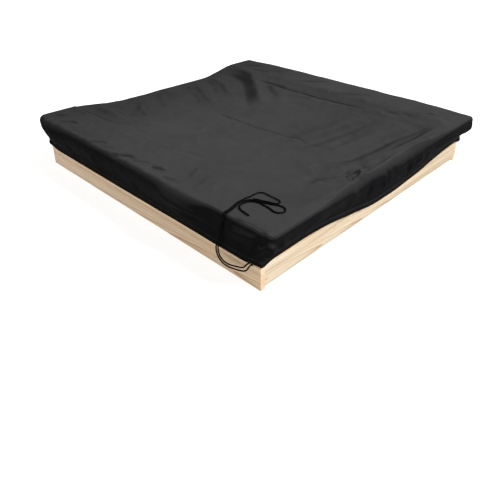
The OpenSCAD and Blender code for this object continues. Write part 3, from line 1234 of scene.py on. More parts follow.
    def _assemble(
        self, top: np.ndarray, index: np.ndarray, rows: list[np.ndarray],
        s: np.ndarray, t: np.ndarray, side: np.ndarray, along: np.ndarray,
    ) -> tuple[np.ndarray, list[tuple[int, ...]], np.ndarray]:
        """Join the top and the skirt into one net of faces, with a cloth UV map in metres.

        Args:
            top: the top panel's points.
            index: the number of the point at each pair of places.
            rows: the skirt's rows; the first is the panel's border.
            s: places along X.
            t: places along Y.
            side: the side of each column.
            along: its place along the side; not used.

        Returns:
            The points, the faces and one (u, v) for each face corner.
        """
        nx, ny = len(s) - 1, len(t) - 1
        points = np.vstack([top, *rows[1:]])
        faces = [
            (int(index[i, j]), int(index[i + 1, j]), int(index[i + 1, j + 1]), int(index[i, j + 1]))
            for i in range(nx) for j in range(ny)
        ]
        uv = [top[list(f), :2] for f in faces]
        border = np.concatenate([index[:-1, 0], index[-1, :-1], index[:0:-1, -1], index[0, :0:-1]])
        count = len(side)
        numbers = [border] + [
            len(top) + k * count + np.arange(count) for k in range(len(rows) - 1)
        ]
        depth = np.zeros(len(rows))
        for k in range(1, len(rows)):
            depth[k] = depth[k - 1] + np.linalg.norm(rows[k] - rows[k - 1], axis=1).mean()
        out = np.array([(0, -1), (1, 0), (0, 1), (-1, 0)], float)
        for k in range(len(rows) - 1):
            for c in range(count):
                d = (c + 1) % count
                faces.append((int(numbers[k][c]), int(numbers[k + 1][c]),
                              int(numbers[k + 1][d]), int(numbers[k][d])))
                way = out[side[c]]
                here, there = rows[0][c, :2], rows[0][d, :2]
                uv.append(np.array([
                    here + way * depth[k], here + way * depth[k + 1],
                    there + way * depth[k + 1], there + way * depth[k],
                ]))
        return points, faces, np.concatenate(uv)

    # ---- folds and wrinkles

    def _fold(self, points: np.ndarray, faces: list[tuple[int, ...]]) -> np.ndarray:
        """Press the folds and wrinkles into the cloth, and keep it clear of the wood.

        Args:
            points: the smooth cloth's points.
            faces: its faces.

        Returns:
            The points of the folded cloth.
        """
        normals = self._normals(points, faces)
        moves = np.zeros(len(points))
        for fold in self._folds():
            moves += fold.lift(points)
        moves += self._ripple(points)
        moves *= self._freedom(points)
        # A hollow can't cut into the corner of a bench.
        x, y, z = np.abs(points).T
        at_edge = smooth(0.172, 0.186, z) * smooth(0.44, 0.46, y) * np.maximum(
            smooth(0.580, 0.594, y) * smooth(0.46, 0.54, x), smooth(0.618, 0.632, x)
        )
        moves = np.where(moves < 0, moves * (1 - 0.9 * at_edge), moves)
        moved = points + normals * moves[:, None]
        return self._clear_of_wood(moved)

    @staticmethod
    def _normals(points: np.ndarray, faces: list[tuple[int, ...]]) -> np.ndarray:
        """Average the normals of the faces round each point.

        Args:
            points: the points.
            faces: four-sided faces.

        Returns:
            One unit normal for each point.
        """
        quads = np.array(faces)
        corner = points[quads]
        facing = np.cross(corner[:, 2] - corner[:, 0], corner[:, 3] - corner[:, 1])
        normals = np.zeros_like(points)
        for k in range(4):
            np.add.at(normals, quads[:, k], facing)
        return normals / np.maximum(np.linalg.norm(normals, axis=1), 1e-12)[:, None]

    def _folds(self) -> list[Fold]:
        """List every fold: package creases, slack wrinkles, and what the corners gather."""
        return [
            *self._package_creases(), *self._slack_wrinkles(), *self._front_right_corner(),
            *self._front_left_corner(), *self._corner_pleats(), *self._skirt_folds(),
        ]

    @staticmethod
    def _package_creases() -> list[Fold]:
        """List the straight creases left by the folded package."""
        return [
            Fold.flat(-2.4, 0.0060, (-0.32, -0.112), (-0.07, -0.155), (0.17, -0.192),
                      profile=Profile.SHARP),
            Fold.flat(-4.2, 0.007, (-0.26, -0.012), (0.0, -0.014), (0.20, 0.006), (0.39, 0.004),
                      profile=Profile.SHARP, taper=0.15),
            Fold.flat(-4.6, 0.007, (-0.42, 0.386), (-0.13, 0.376), (0.08, 0.380), (0.28, 0.394),
                      profile=Profile.SHARP, taper=0.12),
            Fold.flat(1.2, 0.008, (-0.34, 0.405), (-0.20, 0.398), (-0.05, 0.40)),
        ]

    @staticmethod
    def _slack_wrinkles() -> list[Fold]:
        """List the wrinkles of the slack cloth on top."""
        step = Profile.STEP
        return [
            # behind the front bench, at the left
            Fold.flat(-10, 0.026, (-0.63, -0.43), (-0.51, -0.414), (-0.40, -0.410), (-0.30, -0.33)),
            Fold.flat(6, 0.016, (-0.60, -0.375), (-0.49, -0.362), (-0.40, -0.352)),
            Fold.flat(-6, 0.012, (-0.60, -0.31), (-0.50, -0.314), (-0.42, -0.35)),
            Fold.flat(7, 0.020, (-0.56, -0.18), (-0.45, -0.24), (-0.33, -0.275)),
            Fold.flat(-5, 0.014, (-0.52, -0.22), (-0.455, -0.30), (-0.40, -0.34)),
            Fold.flat(-4, 0.010, (-0.31, -0.338), (-0.24, -0.297)),
            Fold.flat(3, 0.012, (-0.40, -0.40), (-0.33, -0.33), (-0.27, -0.25)),
            # the left side
            Fold.flat(7, 0.017, (-0.60, 0.17), (-0.43, 0.10), (-0.30, 0.045)),
            Fold.flat(-6, 0.015, (-0.60, 0.10), (-0.48, 0.05), (-0.36, 0.01)),
            Fold.flat(4, 0.014, (-0.58, 0.0), (-0.50, -0.03), (-0.42, -0.04)),
            Fold.flat(-4, 0.012, (-0.59, -0.08), (-0.50, -0.12), (-0.42, -0.16)),
            Fold.flat(11, 0.026, (-0.62, 0.44), (-0.44, 0.42), (-0.28, 0.30), (-0.12, 0.17)),
            Fold.flat(-9, 0.024, (-0.61, 0.36), (-0.44, 0.34), (-0.29, 0.22), (-0.15, 0.10)),
            Fold.flat(7, 0.018, (-0.60, 0.27), (-0.46, 0.25), (-0.34, 0.17)),
            Fold.flat(-5, 0.013, (-0.60, 0.225), (-0.50, 0.20), (-0.40, 0.13)),
            Fold.flat(-5, 0.014, (-0.30, 0.37), (-0.22, 0.32), (-0.14, 0.28)),
            # the right side, behind the wall and below the back bench
            Fold.flat(-8, 0.030, (0.25, -0.10), (0.29, 0.10), (0.345, 0.31), (0.353, 0.41)),
            Fold.flat(5, 0.028, (0.20, -0.06), (0.235, 0.12), (0.29, 0.33)),
            Fold.flat(-11, 0.028, (0.45, -0.12), (0.485, 0.10), (0.497, 0.23), (0.53, 0.34),
                      (0.56, 0.47)),
            Fold.flat(5, 0.026, (0.39, -0.06), (0.41, 0.12), (0.43, 0.30)),
            Fold.flat(7, 0.015, (0.56, 0.10), (0.585, 0.24), (0.60, 0.40)),
            Fold.flat(-5, 0.007, (0.345, 0.412), (0.409, 0.416), (0.43, 0.408)),
            Fold.flat(-5, 0.007, (0.41, 0.442), (0.467, 0.425)),
            Fold.flat(5, 0.010, (0.44, 0.458), (0.465, 0.55), (0.497, 0.60)),
            Fold.flat(5, 0.009, (0.468, 0.448), (0.495, 0.51), (0.55, 0.528)),
            Fold.flat(-4.0, 0.010, (0.50, 0.47), (0.55, 0.56), (0.60, 0.59)),
            Fold.flat(4.0, 0.012, (0.30, 0.47), (0.34, 0.55)),
            # a knot of wrinkles on the right shoulder
            Fold.flat(8, 0.017, (0.50, -0.28), (0.56, -0.20), (0.60, -0.16)),
            Fold.flat(-7, 0.010, (0.56, -0.20), (0.545, -0.10), (0.56, -0.03)),
            Fold.flat(7, 0.009, (0.545, -0.06), (0.585, -0.10), (0.605, -0.15)),
            Fold.flat(-6, 0.009, (0.53, -0.125), (0.595, -0.085)),
            Fold.flat(-5, 0.008, (0.57, -0.145), (0.60, -0.19)),
            Fold.flat(-4, 0.008, (0.46, -0.24), (0.51, -0.25), (0.55, -0.235)),
            # short wrinkles along the front
            Fold.flat(3.5, 0.010, (-0.625, -0.50), (-0.57, -0.475), (-0.50, -0.47), profile=step),
            Fold.flat(4.0, 0.010, (-0.610, -0.575), (-0.56, -0.535), (-0.545, -0.474),
                      profile=step),
            Fold.flat(4.0, 0.010, (-0.52, -0.60), (-0.48, -0.56), (-0.44, -0.54), profile=step),
            Fold.flat(5.0, 0.009, (-0.385, -0.605), (-0.36, -0.545), profile=step),
            Fold.flat(4.0, 0.009, (-0.43, -0.60), (-0.40, -0.55), profile=step),
            Fold.flat(4.0, 0.010, (-0.325, -0.605), (-0.300, -0.565), profile=step),
            Fold.flat(5.0, 0.010, (-0.245, -0.615), (-0.195, -0.560), profile=step),
            Fold.flat(3.5, 0.009, (-0.18, -0.61), (-0.14, -0.57), profile=step),
            Fold.flat(5.0, 0.011, (-0.105, -0.618), (-0.01, -0.565), profile=step),
            Fold.flat(3.5, 0.010, (0.00, -0.60), (0.06, -0.555), profile=step),
            Fold.flat(5.0, 0.010, (0.085, -0.612), (0.09, -0.58), (0.135, -0.555), profile=step),
            Fold.flat(3.0, 0.010, (0.17, -0.60), (0.22, -0.575), profile=step),
            Fold.flat(5, 0.013, (-0.06, -0.405), (0.05, -0.422), (0.16, -0.40)),
            Fold.flat(-4, 0.008, (-0.05, -0.435), (0.0, -0.415), (0.06, -0.40)),
            Fold.flat(4, 0.009, (-0.14, -0.44), (-0.08, -0.425), profile=step),
            Fold.flat(3.5, 0.007, (0.195, -0.47), (0.235, -0.55), profile=step),
            Fold.flat(3.5, 0.008, (0.27, -0.49), (0.285, -0.53), (0.30, -0.59), profile=step),
            Fold.flat(-3, 0.006, (0.345, -0.50), (0.385, -0.555), (0.415, -0.59)),
            # at the back left corner
            Fold.flat(4.0, 0.012, (-0.56, 0.50), (-0.50, 0.57), profile=step),
            Fold.flat(4.0, 0.014, (-0.50, 0.45), (-0.40, 0.50), (-0.33, 0.58), profile=step),
            Fold.flat(-4.0, 0.010, (-0.42, 0.44), (-0.36, 0.47), (-0.30, 0.52)),
            Fold.flat(3.5, 0.012, (-0.20, 0.46), (-0.12, 0.52), (-0.05, 0.58), profile=step),
            Fold.flat(3.5, 0.012, (0.06, 0.45), (0.16, 0.50), (0.22, 0.57), profile=step),
        ]

    @staticmethod
    def _front_right_corner() -> list[Fold]:
        """List the folds of the front right corner, where the drawstring bunches the cloth."""
        def on_face(*points: tuple[float, float]) -> tuple[tuple[float, float, float], ...]:
            return tuple((x, -0.6135, z) for x, z in points)

        return [
            # the thin ridge along the edge and the dark crease outside it
            Fold.flat(4.5, 0.0075, (0.500, -0.604), (0.55, -0.594), (0.603, -0.592),
                      (0.640, -0.602), taper=0.15),
            Fold.flat(-4, 0.0055, (0.53, -0.577), (0.58, -0.584), (0.625, -0.590), taper=0.2),
            # the hollow under the edge and the bulge below it
            Fold.free(-5, 0.008, *on_face((0.50, 0.199), (0.54, 0.197), (0.60, 0.195))),
            Fold.free(10, 0.0170,
                      *on_face((0.47, 0.160), (0.52, 0.166), (0.575, 0.174), (0.625, 0.182)),
                      taper=0.35),
            Fold.free(-4, 0.009, *on_face((0.49, 0.128), (0.53, 0.132), (0.56, 0.138))),
            # the turned-over flap, its edge and the slit in it
            Fold.free(10.0, 0.0100,
                      *on_face((0.650, 0.186), (0.620, 0.160), (0.594, 0.130), (0.580, 0.106)),
                      taper=0.14),
            Fold.free(-9.0, 0.0060,
                      *on_face((0.640, 0.203), (0.604, 0.173), (0.576, 0.137), (0.562, 0.104)),
                      taper=0.10),
            Fold.free(-9.0, 0.0055, *on_face((0.636, 0.190), (0.622, 0.172), (0.606, 0.154)),
                      taper=0.25),
            # the bulge goes on to the left of the drawstring
            Fold.free(7, 0.0125, (0.16, -0.630, 0.178), (0.28, -0.633, 0.170),
                      (0.40, -0.618, 0.160)),
            Fold.free(-5, 0.010, (0.20, -0.628, 0.150), (0.30, -0.628, 0.142),
                      (0.41, -0.615, 0.132)),
            Fold.free(7.0, 0.008, (0.652, -0.600, 0.188), (0.642, -0.603, 0.160),
                      (0.622, -0.606, 0.120)),
            Fold.free(-6.5, 0.007, (0.651, -0.580, 0.190), (0.643, -0.586, 0.160),
                      (0.622, -0.592, 0.118)),
            Fold.free(4.5, 0.009, (0.651, -0.560, 0.188), (0.643, -0.568, 0.155),
                      (0.625, -0.572, 0.125)),
        ]

    @staticmethod
    def _front_left_corner() -> list[Fold]:
        """List the gathers that run over the edge of the front left corner."""
        starts = ((-0.618, -0.565), (-0.594, -0.580), (-0.568, -0.572), (-0.542, -0.590),
                  (-0.512, -0.582))
        return [
            Fold((
                (x, y, 0.2065), (x + 0.006, -0.617, 0.197), (x + 0.030, -0.624, 0.165),
                (x + 0.062, -0.622, 0.125),
            ), (5.5 if k % 2 else -5.5) * MM, 0.0105, taper=0.25, in_plan=False)
            for k, (x, y) in enumerate(starts)
        ]

    @staticmethod
    def _corner_pleats() -> list[Fold]:
        """List the pleats that fan down from each corner to the hem."""
        pleats = []
        for sx, sy in ((-1, -1), (1, 1), (-1, 1), (1, -1)):
            for k in range(5):
                height = (3.4 - 0.35 * k) * MM * (-1 if k % 2 else 1)
                if (sx, sy) != (1, -1):
                    pleats.append(Fold((
                        (sx * (0.650 - 0.010 * k), sy * 0.612, 0.198 - 0.004 * k),
                        (sx * (0.632 - 0.022 * k), sy * 0.613, 0.150),
                        (sx * (0.598 - 0.034 * k), sy * 0.610, 0.100),
                    ), height, 0.0072 + 0.0006 * k, taper=0.3, in_plan=False))
                pleats.append(Fold((
                    (sx * 0.651, sy * (0.606 - 0.013 * k), 0.194 - 0.004 * k),
                    (sx * 0.642, sy * (0.598 - 0.024 * k), 0.155),
                    (sx * 0.612, sy * (0.585 - 0.038 * k), 0.104),
                ), height, 0.0075 + 0.0006 * k, taper=0.3, in_plan=False))
        return pleats

    def _skirt_folds(self) -> list[Fold]:
        """List the hanging folds of the skirts: listed ones on the right, random ones elsewhere."""
        folds = [
            Fold.free(-6.8, 0.008, (0.616, 0.0, 0.180), (0.618, 0.015, 0.13), (0.616, 0.03, 0.088)),
            Fold.free(-6.0, 0.009, (0.616, 0.029, 0.168), (0.619, 0.062, 0.14),
                      (0.618, 0.098, 0.115)),
            Fold.free(6.8, 0.010, (0.617, -0.02, 0.165), (0.619, -0.005, 0.12),
                      (0.617, 0.008, 0.09)),
            Fold.free(-6.0, 0.008, (0.618, 0.063, 0.125), (0.617, 0.050, 0.09)),
            Fold.free(-6.8, 0.008, (0.617, 0.139, 0.165), (0.619, 0.153, 0.13),
                      (0.617, 0.166, 0.092)),
            Fold.free(-6.8, 0.008, (0.619, 0.203, 0.155), (0.619, 0.199, 0.12),
                      (0.617, 0.194, 0.086)),
            Fold.free(6.8, 0.010, (0.619, 0.170, 0.160), (0.620, 0.178, 0.125),
                      (0.618, 0.181, 0.09)),
            Fold.free(-6.0, 0.010, (0.622, 0.255, 0.165), (0.621, 0.27, 0.13),
                      (0.618, 0.285, 0.10)),
            Fold.free(-6.0, 0.011, (0.628, 0.322, 0.172), (0.624, 0.328, 0.13)),
            Fold.free(6.0, 0.012, (0.620, 0.23, 0.165), (0.621, 0.235, 0.12)),
            Fold.free(6.8, 0.013, (0.617, -0.18, 0.170), (0.619, -0.21, 0.13),
                      (0.617, -0.22, 0.09)),
            Fold.free(-6.8, 0.011, (0.618, -0.10, 0.165), (0.620, -0.095, 0.13),
                      (0.617, -0.11, 0.088)),
            Fold.free(-5.1, 0.014, (0.621, -0.30, 0.165), (0.620, -0.34, 0.12)),
            Fold.free(-5.1, 0.012, (-0.42, -0.617, 0.165), (-0.395, -0.614, 0.12)),
            Fold.free(5.1, 0.014, (-0.22, -0.620, 0.165), (-0.25, -0.615, 0.11)),
            Fold.free(-5.1, 0.014, (0.02, -0.620, 0.160), (0.05, -0.615, 0.11)),
            Fold.free(6.8, 0.014, (0.20, -0.626, 0.165), (0.30, -0.622, 0.13),
                      (0.37, -0.616, 0.10)),
        ]
        rng = np.random.default_rng(12)
        for turn, across in ((Side.BACK, 0.617), (Side.LEFT, 0.617)):
            for place in np.arange(-0.42, 0.43, 0.07):
                u = place + rng.uniform(-0.02, 0.02)
                lean = rng.uniform(-0.035, 0.035)
                line = [(u, 0.175), (u + lean / 2, 0.13), (u + lean, 0.09)]
                path = tuple(
                    (-across, along, up) if turn == Side.LEFT else (along, across - 0.002, up)
                    for along, up in line
                )
                folds.append(Fold(path, rng.uniform(2.5, 4.5) * MM * rng.choice([-1, 1]),
                                  rng.uniform(0.008, 0.013), in_plan=False))
        return folds

    def _ripple(self, points: np.ndarray) -> np.ndarray:
        """Make the small unevenness of hand-laid cloth.

        Args:
            points: the cloth's points.

        Returns:
            The move of each point.
        """
        def layer(scale: float, offset: float) -> np.ndarray:
            return np.array([
                noise.noise(Vector((p[0] * scale + offset, p[1] * scale, p[2] * scale * 2)))
                for p in points
            ])

        def crinkle(scale: float, offset: float) -> np.ndarray:
            return 0.35 - np.sqrt(np.abs(layer(scale, offset)) + 0.004)

        spots = smooth(-0.15, 0.45, layer(4.5, 21.0))
        return (
            1.8 * MM * layer(7.0, 3.0) + 2.2 * MM * crinkle(9.0, 31.0)
            + spots * (3.0 * MM * crinkle(15.0, 11.0) + 1.4 * MM * crinkle(27.0, 17.0))
        )

    def _freedom(self, points: np.ndarray) -> np.ndarray:
        """Hold the cloth still in the hem and under the drawstring.

        Args:
            points: the cloth's points.

        Returns:
            A factor from 0 to 1 for each point.
        """
        free = smooth(0.085, 0.125, points[:, 2])
        x, y, z = points.T
        under_loops = (
            smooth(0.40, 0.43, x) * (1 - smooth(0.60, 0.63, x)) * (1 - smooth(-0.45, -0.42, y))
            * smooth(-0.592, -0.578, y)
        )
        behind_strands = (
            smooth(0.425, 0.44, x) * (1 - smooth(0.483, 0.497, x)) * (1 - smooth(-0.58, -0.56, y))
        )
        return free * (1 - 0.95 * np.maximum(under_loops, behind_strands))

    def _clear_of_wood(self, points: np.ndarray) -> np.ndarray:
        """Push the cloth out of the benches and the walls, and lift it off the battens.

        Args:
            points: the cloth's points.

        Returns:
            The points, moved where they were too close.
        """
        gap = self.thickness + 0.7 * MM
        points = self._push_out(
            points, (self.bench_end, self.bench_out), self.bench_corner,
            (self.bench_under, self.bench_top), gap, self.bench_in,
        )
        points = self._push_out(
            points, (self.wall_out, self.wall_out), 0.0, (-1.0, self.wall_top), gap, None
        )
        # Between two points the cloth is straight, so it stays up a little way past the
        # inner edges of the benches and the sides of the battens.
        x, y, z = np.abs(points).T
        past_bench = np.where(x < self.bench_end, self.bench_in - y, 1.0)
        at_inner_edge = (past_bench > -0.011) & (past_bench < 0.018)
        eased = self.bench_top + gap + 1.6 * MM - 0.55 * np.maximum(past_bench, 0.0)
        over_bench = np.where(at_inner_edge, eased, -1.0)
        across, along = np.maximum(x, y), np.minimum(x, y)
        at_batten = (
            (across > self.batten_from) & (across < self.wall_out) & (along < self.batten_to_side)
        )
        over_batten = np.where(at_batten, self.wall_top + gap, -1.0)
        on_top = z > 0.165
        low = np.where(on_top, np.maximum(over_bench, over_batten), -1.0)
        return np.column_stack([points[:, :2], np.maximum(points[:, 2], low)])

    def _push_out(
        self, points: np.ndarray, half: tuple[float, float], radius: float,
        span: tuple[float, float], gap: float, inner_y: float | None,
    ) -> np.ndarray:
        """Move points out of a flat board, or a frame of boards, the shortest way.

        Args:
            points: the cloth's points.
            half: half the wood's size along X and Y.
            radius: the radius of its corners seen from above.
            span: its lowest and highest level.
            gap: how far the points stay away.
            inner_y: where a pair of benches begins along Y, or None for the walls.

        Returns:
            The moved points.
        """
        x, y, z = points.T
        round_by = radius + gap
        q = np.abs(points[:, :2]) - (np.array(half) + gap - round_by)
        beyond = np.maximum(q, 0.0)
        reach = np.linalg.norm(beyond, axis=1)
        inside = round_by - reach - np.minimum(q.max(1), 0.0)
        if inner_y is None:
            wood = inside < 0.018 + 2 * gap
        else:
            wood = np.abs(y) > inner_y - gap
        deep = (inside > 0) & wood & (z < span[1] + gap) & (z > span[0] - 0.4 * gap)
        rise = span[1] + gap - z
        way = np.where(
            (reach > 0)[:, None], beyond / np.maximum(reach, 1e-9)[:, None],
            (q == q.max(1, keepdims=True)).astype(float),
        ) * np.sign(points[:, :2])
        upward = deep & (rise <= inside)
        sideways = deep & (rise > inside)
        z = np.where(upward, span[1] + gap, z)
        shift = np.where(sideways, inside, 0.0)
        # Round the arris, so that no edge of the wood shows between two points.
        out = shift - inside + self.arris_round + gap
        up = z - span[1] + self.arris_round
        far = np.hypot(out, up)
        keep = self.arris_round * math.sqrt(2) + gap + 0.5 * MM
        near = (far < keep) & (out > 0) & (up > 0)
        near &= (np.abs(y) > inner_y + 0.02) if inner_y is not None else True
        grow = np.where(near, keep / np.maximum(far, 1e-9), 1.0)
        shift = shift + out * (grow - 1)
        z = z + up * (grow - 1)
        return np.column_stack([points[:, :2] + shift[:, None] * way, z])


# ---- Drawstring ------------------------------------------------------------


def smooth_route(points: np.ndarray, step: float, closed: bool = False) -> np.ndarray:
    """Run a smooth curve through points and space it evenly.

    Args:
        points: the points, in metres.
        step: the distance between the new points.
        closed: whether the last point joins the first.

    Returns:
        The evenly spaced points.
    """
    if closed:
        ends = np.vstack([points[-1:], points, points[:2]])
    else:
        ends = np.vstack([2 * points[0] - points[1], points, 2 * points[-1] - points[-2]])
    fine = []
    for k in range(1, len(ends) - 2):
        a, b, c, d = ends[k - 1 : k + 3]
        for u in np.linspace(0, 1, 12, endpoint=False):
            fine.append(0.5 * (
                2 * b + (c - a) * u + (2 * a - 5 * b + 4 * c - d) * u * u
                + (3 * b - a - 3 * c + d) * u ** 3
            ))
    fine.append(ends[-2])
    fine = np.array(fine)
    walked = np.concatenate([[0], np.cumsum(np.linalg.norm(np.diff(fine, axis=0), axis=1))])
    places = np.linspace(0, walked[-1], max(int(round(walked[-1] / step)), 2) + 1)
    return np.column_stack([np.interp(places, walked, fine[:, k]) for k in range(3)])


def cord_mesh(name: str, route: np.ndarray, radius: float, sides: int = 12) -> bpy.types.Object:
    """Sweep a round cord along a route, with rounded ends and a UV map in metres.

    Args:
        name: the piece's name.
        route: the points of its centreline.
        radius: the cord's radius.
        sides: the number of faces round it.

    Returns:
        The cord.
    """
    ahead = np.gradient(route, axis=0)
    ahead /= np.linalg.norm(ahead, axis=1)[:, None]
    across = np.zeros_like(ahead)
    seed = np.array([0.0, 0.0, 1.0]) if abs(ahead[0, 2]) < 0.9 else np.array([1.0, 0.0, 0.0])
    across[0] = np.cross(ahead[0], seed)
    for k in range(1, len(route)):
        across[k] = across[k - 1] - ahead[k] * (across[k - 1] @ ahead[k])
        across[k] /= np.linalg.norm(across[k])
    across[0] /= np.linalg.norm(across[0])
    other = np.cross(ahead, across)
    caps = [(0.35, -0.85), (0.8, -0.5)]
    spots, widths, places = [], [], []
    walked = np.concatenate([[0], np.cumsum(np.linalg.norm(np.diff(route, axis=0), axis=1))])
    for share, back in caps:
        spots.append((0, back * radius * 0.6)), widths.append(share)
        places.append(back * radius * 0.6)
    for k in range(len(route)):
        spots.append((k, 0.0)), widths.append(1.0), places.append(walked[k])
    for share, back in reversed(caps):
        spots.append((len(route) - 1, -back * radius * 0.6)), widths.append(share)
        places.append(walked[-1] - back * radius * 0.6)
    turns = 2 * math.pi * np.arange(sides) / sides
    rings = []
    for (k, shift), share in zip(spots, widths):
        middle = route[k] + ahead[k] * shift
        rings.append(
            middle + radius * share * (
                np.cos(turns)[:, None] * across[k] + np.sin(turns)[:, None] * other[k]
            )
        )
    faces, uv = [], []
    for k in range(len(rings) - 1):
        for m in range(sides):
            n = (m + 1) % sides
            faces.append((k * sides + m, k * sides + n, (k + 1) * sides + n, (k + 1) * sides + m))
            low, high = 2 * math.pi * radius * m / sides, 2 * math.pi * radius * (m + 1) / sides
            uv += [(low, places[k]), (high, places[k]), (high, places[k + 1]), (low, places[k + 1])]
    last = (len(rings) - 1) * sides
    faces.append(tuple(range(sides - 1, -1, -1)))
    faces.append(tuple(last + m for m in range(sides)))
    uv += [(0.0, places[0])] * sides + [(0.0, places[-1])] * sides
    piece = mesh_piece(name, np.vstack(rings), faces)
    write_uv(piece, "cord", np.array(uv))
    return piece


@dataclass
class Drawstring:
    """The braided cord: a length in the hem and two free tails.

    The tails' points are those of the CAD solids, in millimetres.
    """

    diameter: float = 4.5 * MM
    tail_a: tuple[tuple[float, float, float], ...] = (
        (566, -610, 88), (566, -622, 87), (560, -625, 78), (547, -624, 69),
        (530, -622, 62), (511, -621, 55), (490, -621, 50), (470, -621, 52),
        (456, -621, 62), (450, -621, 77), (450, -621, 94), (453, -619, 112),
        (458, -617, 134), (463, -616, 156), (468, -616, 178), (472, -618, 192),
        (476, -617, 203), (477, -609, 210), (475, -597, 209), (470, -580, 207.2),
        (465, -561, 207.2), (461, -544, 207.2), (461, -527, 207.2), (466, -512, 207.2),
        (477, -502, 207.2), (491, -497, 207.2), (506, -493, 207.2), (520, -488, 207.2),
        (534, -483, 207.2), (548, -476, 207.2), (562, -472, 207.2), (576, -475, 207.2),
        (585, -485, 207.2), (585, -497, 207.2), (576, -506, 207.2), (563, -509, 207.2),
        (548, -505, 207.2), (532, -503, 207.2), (515, -502, 207.2), (499, -502, 207.2),
        (484, -508, 207.2), (473, -518, 207.2), (469, -532, 207.2), (470, -547, 207.2),
        (477, -559, 207.2), (490, -566, 207.2), (508, -569, 207.2), (528, -572, 207.2),
    )
    tail_b: tuple[tuple[float, float, float], ...] = (
        (577, -610, 88), (577, -622, 86), (572, -626, 75), (558, -625, 63),
        (538, -623, 54), (515, -621, 46), (490, -621, 41), (466, -621, 43),
        (449, -621, 55), (441, -621, 73), (442, -621, 93), (446, -619, 112),
        (451, -617, 134), (456, -616, 156), (461, -616, 178), (465, -618, 192),
        (469, -617, 203), (470, -609, 210), (468, -597, 209), (463, -580, 207.2),
        (458, -561, 207.2), (454, -544, 207.2), (453, -527, 207.2), (454, -510, 207.2),
        (456, -493, 207.2), (456, -477, 207.2), (458, -462, 207.2), (468, -452, 207.2),
        (484, -451, 207.2), (502, -452, 207.2), (520, -452, 207.2), (534, -453, 207.2),
        (543, -460, 207.2), (541, -471, 207.2), (528, -477, 207.2), (513, -482, 207.2),
        (498, -488, 207.2), (484, -492, 207.2), (473, -498, 207.2),
    )

    def build_tails(self, material: bpy.types.Material) -> list[bpy.types.Object]:
        """Args:
            material: the cord's finish.

        Returns:
            The two tails.
        """
        tails = []
        for letter, points in (("a", self.tail_a), ("b", self.tail_b)):
            route = smooth_route(np.array(points) * MM, 3.0 * MM)
            tail = cord_mesh(f"cord_tail_{letter}", route, self.diameter / 2)
            dress(tail, material)
            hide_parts(f"drawstring_tail_{letter}")
            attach(tail, "cover")
            tails.append(tail)
        return tails

    def build_in_hem(
        self, cover: FittedCover, material: bpy.types.Material
    ) -> bpy.types.Object:
        """Sweep the length inside the hem, from one exit round to the other.

        Args:
            cover: the cover whose hem it runs in.
            material: the cord's finish.

        Returns:
            The cord in the hem.
        """
        outer = cover.ring[cover.shoulder_steps + cover.skirt_steps + 3]
        inner = cover.ring[cover.shoulder_steps + cover.skirt_steps + 9]
        middle = (outer + inner) / 2
        start_x, end_x = self.tail_b[0][0] * MM, self.tail_a[0][0] * MM
        gap = self.diameter / 2 + 1 * MM
        front = middle[:, 1] < -0.59
        first = int(np.flatnonzero(front & (middle[:, 0] > start_x + gap))[0])
        walk = np.roll(middle, -first, axis=0)
        count = int(np.flatnonzero((walk[:, 1] < -0.59) & (walk[:, 0] < end_x - gap))[-1])
        cord = cord_mesh("cord_in_hem", smooth_route(walk[: count + 1 : 3], 6 * MM),
                         self.diameter / 2, sides=10)
        dress(cord, material)
        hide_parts("drawstring_in_hem")
        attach(cord, "cover")
        return cord


# ---- Sewing ----------------------------------------------------------------


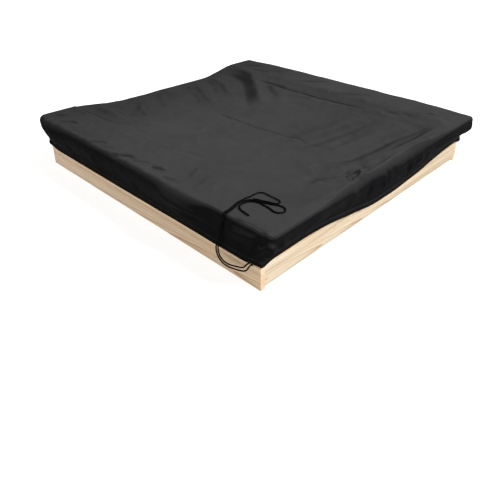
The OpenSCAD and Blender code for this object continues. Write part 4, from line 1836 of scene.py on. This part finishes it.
@dataclass
class Sewing:
    """The thread on the cover: the hem's lock stitch and the two sewn buttonholes."""

    pitch: float = 3.6 * MM
    length: float = 2.7 * MM
    width: float = 0.75 * MM
    proud: float = 0.35 * MM

    def build_hem_stitch(
        self, cover: FittedCover, material: bpy.types.Material
    ) -> bpy.types.Object:
        """Sew one row of stitches round the top of the hem's channel.

        Args:
            cover: the cover that is sewn.
            material: the thread's finish.

        Returns:
            The row of stitches.
        """
        row = cover.shoulder_steps + cover.skirt_steps - 1
        line = cover.ring[row]
        above = cover.ring[row - 1]
        closed = np.vstack([line, line[:1]])
        climb = np.vstack([above, above[:1]]) - closed
        walked = np.concatenate([[0], np.cumsum(np.linalg.norm(np.diff(closed, axis=0), axis=1))])
        count = int(walked[-1] / self.pitch)
        middle = (np.arange(count) + 0.5) * walked[-1] / count

        def at(places: np.ndarray, values: np.ndarray) -> np.ndarray:
            return np.column_stack([np.interp(places, walked, values[:, k]) for k in range(3)])

        ahead = at(middle + self.pitch / 2, closed) - at(middle - self.pitch / 2, closed)
        ahead /= np.linalg.norm(ahead, axis=1)[:, None]
        out = np.cross(ahead, at(middle, climb))
        out /= np.linalg.norm(out, axis=1)[:, None]
        across = np.cross(out, ahead)
        centre = at(middle, closed)
        rings = []
        for along, lift in ((-0.5, -0.6), (-0.34, 0.75), (0.34, 0.75), (0.5, -0.6)):
            spot = centre + ahead * along * self.length + out * lift * self.proud
            thin = 0.55 if abs(along) > 0.4 else 1.0
            for angle in (0.0, 0.5, 1.0, 1.5):
                turn = angle * math.pi
                rings.append(
                    spot + across * math.cos(turn) * self.width / 2 * thin
                    + out * math.sin(turn) * self.proud * thin
                )
        points = np.stack(rings, axis=1).reshape(-1, 3)
        faces = []
        for stitch in range(count):
            base = 16 * stitch
            for k in range(3):
                for m in range(4):
                    n = (m + 1) % 4
                    low, high = base + 4 * k, base + 4 * (k + 1)
                    faces.append((low + m, high + m, high + n, low + n))
            faces.append((base, base + 1, base + 2, base + 3))
            faces.append((base + 15, base + 14, base + 13, base + 12))
        piece = mesh_piece("hem_stitching", points, faces)
        dress(piece, material)
        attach(piece, "cover")
        return piece

    def build_buttonholes(
        self, string: Drawstring, cover: FittedCover, material: bpy.types.Material
    ) -> list[bpy.types.Object]:
        """Sew a buttonhole round each place where the drawstring leaves the hem.

        Args:
            string: the drawstring.
            cover: the cover that is sewn.
            material: the thread's finish.

        Returns:
            The buttonholes.
        """
        face = cover.ring[cover.shoulder_steps + cover.skirt_steps + 3]
        holes = []
        for letter, points in (("a", string.tail_a), ("b", string.tail_b)):
            x, _, z = (value * MM for value in points[0])
            front = face[face[:, 1] < -0.59]
            y = float(front[np.argmin(np.abs(front[:, 0] - x)), 1])
            bpy.ops.mesh.primitive_torus_add(
                major_radius=3.3 * MM, minor_radius=0.75 * MM,
                major_segments=40, minor_segments=10,
                location=(x, y - 0.2 * MM, z), rotation=(math.radians(90), 0.0, 0.0),
            )
            hole = bpy.context.object
            hole.name = f"buttonhole_{letter}"
            hole.scale = (1.15 if letter == "a" else 1.1, 1.35, 0.8)
            bpy.ops.object.transform_apply(location=True, rotation=True, scale=True)
            bpy.ops.object.shade_smooth()
            dress(hole, material)
            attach(hole, "cover")
            holes.append(hole)
        return holes


# ---- Main ------------------------------------------------------------------


def main() -> None:
    """Build the sandbox, its cover and the studio."""
    logging.basicConfig(level=logging.INFO, format="%(message)s")
    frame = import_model()
    SandboxFrame(frame["nodes"]).dress_all()

    cover = FittedCover()
    cloth = cover.build()
    dress(cloth, CoatedPolyester().build())
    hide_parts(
        "cover_top", "cover_skirt_front", "cover_skirt_right", "cover_skirt_back",
        "cover_skirt_left", "cover_hem_front", "cover_hem_right", "cover_hem_back",
        "cover_hem_left",
    )
    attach(cloth, "cover")
    LOG.info("cloth has %d points", len(cloth.data.vertices))

    string = Drawstring()
    cord_finish = BraidedCord().build()
    string.build_tails(cord_finish)
    string.build_in_hem(cover, cord_finish)
    sewing = Sewing()
    thread = SewingThread().build()
    sewn = [
        sewing.build_hem_stitch(cover, thread),
        *sewing.build_buttonholes(string, cover, thread),
    ]

    Studio().build()


if __name__ == "__main__":
    main()
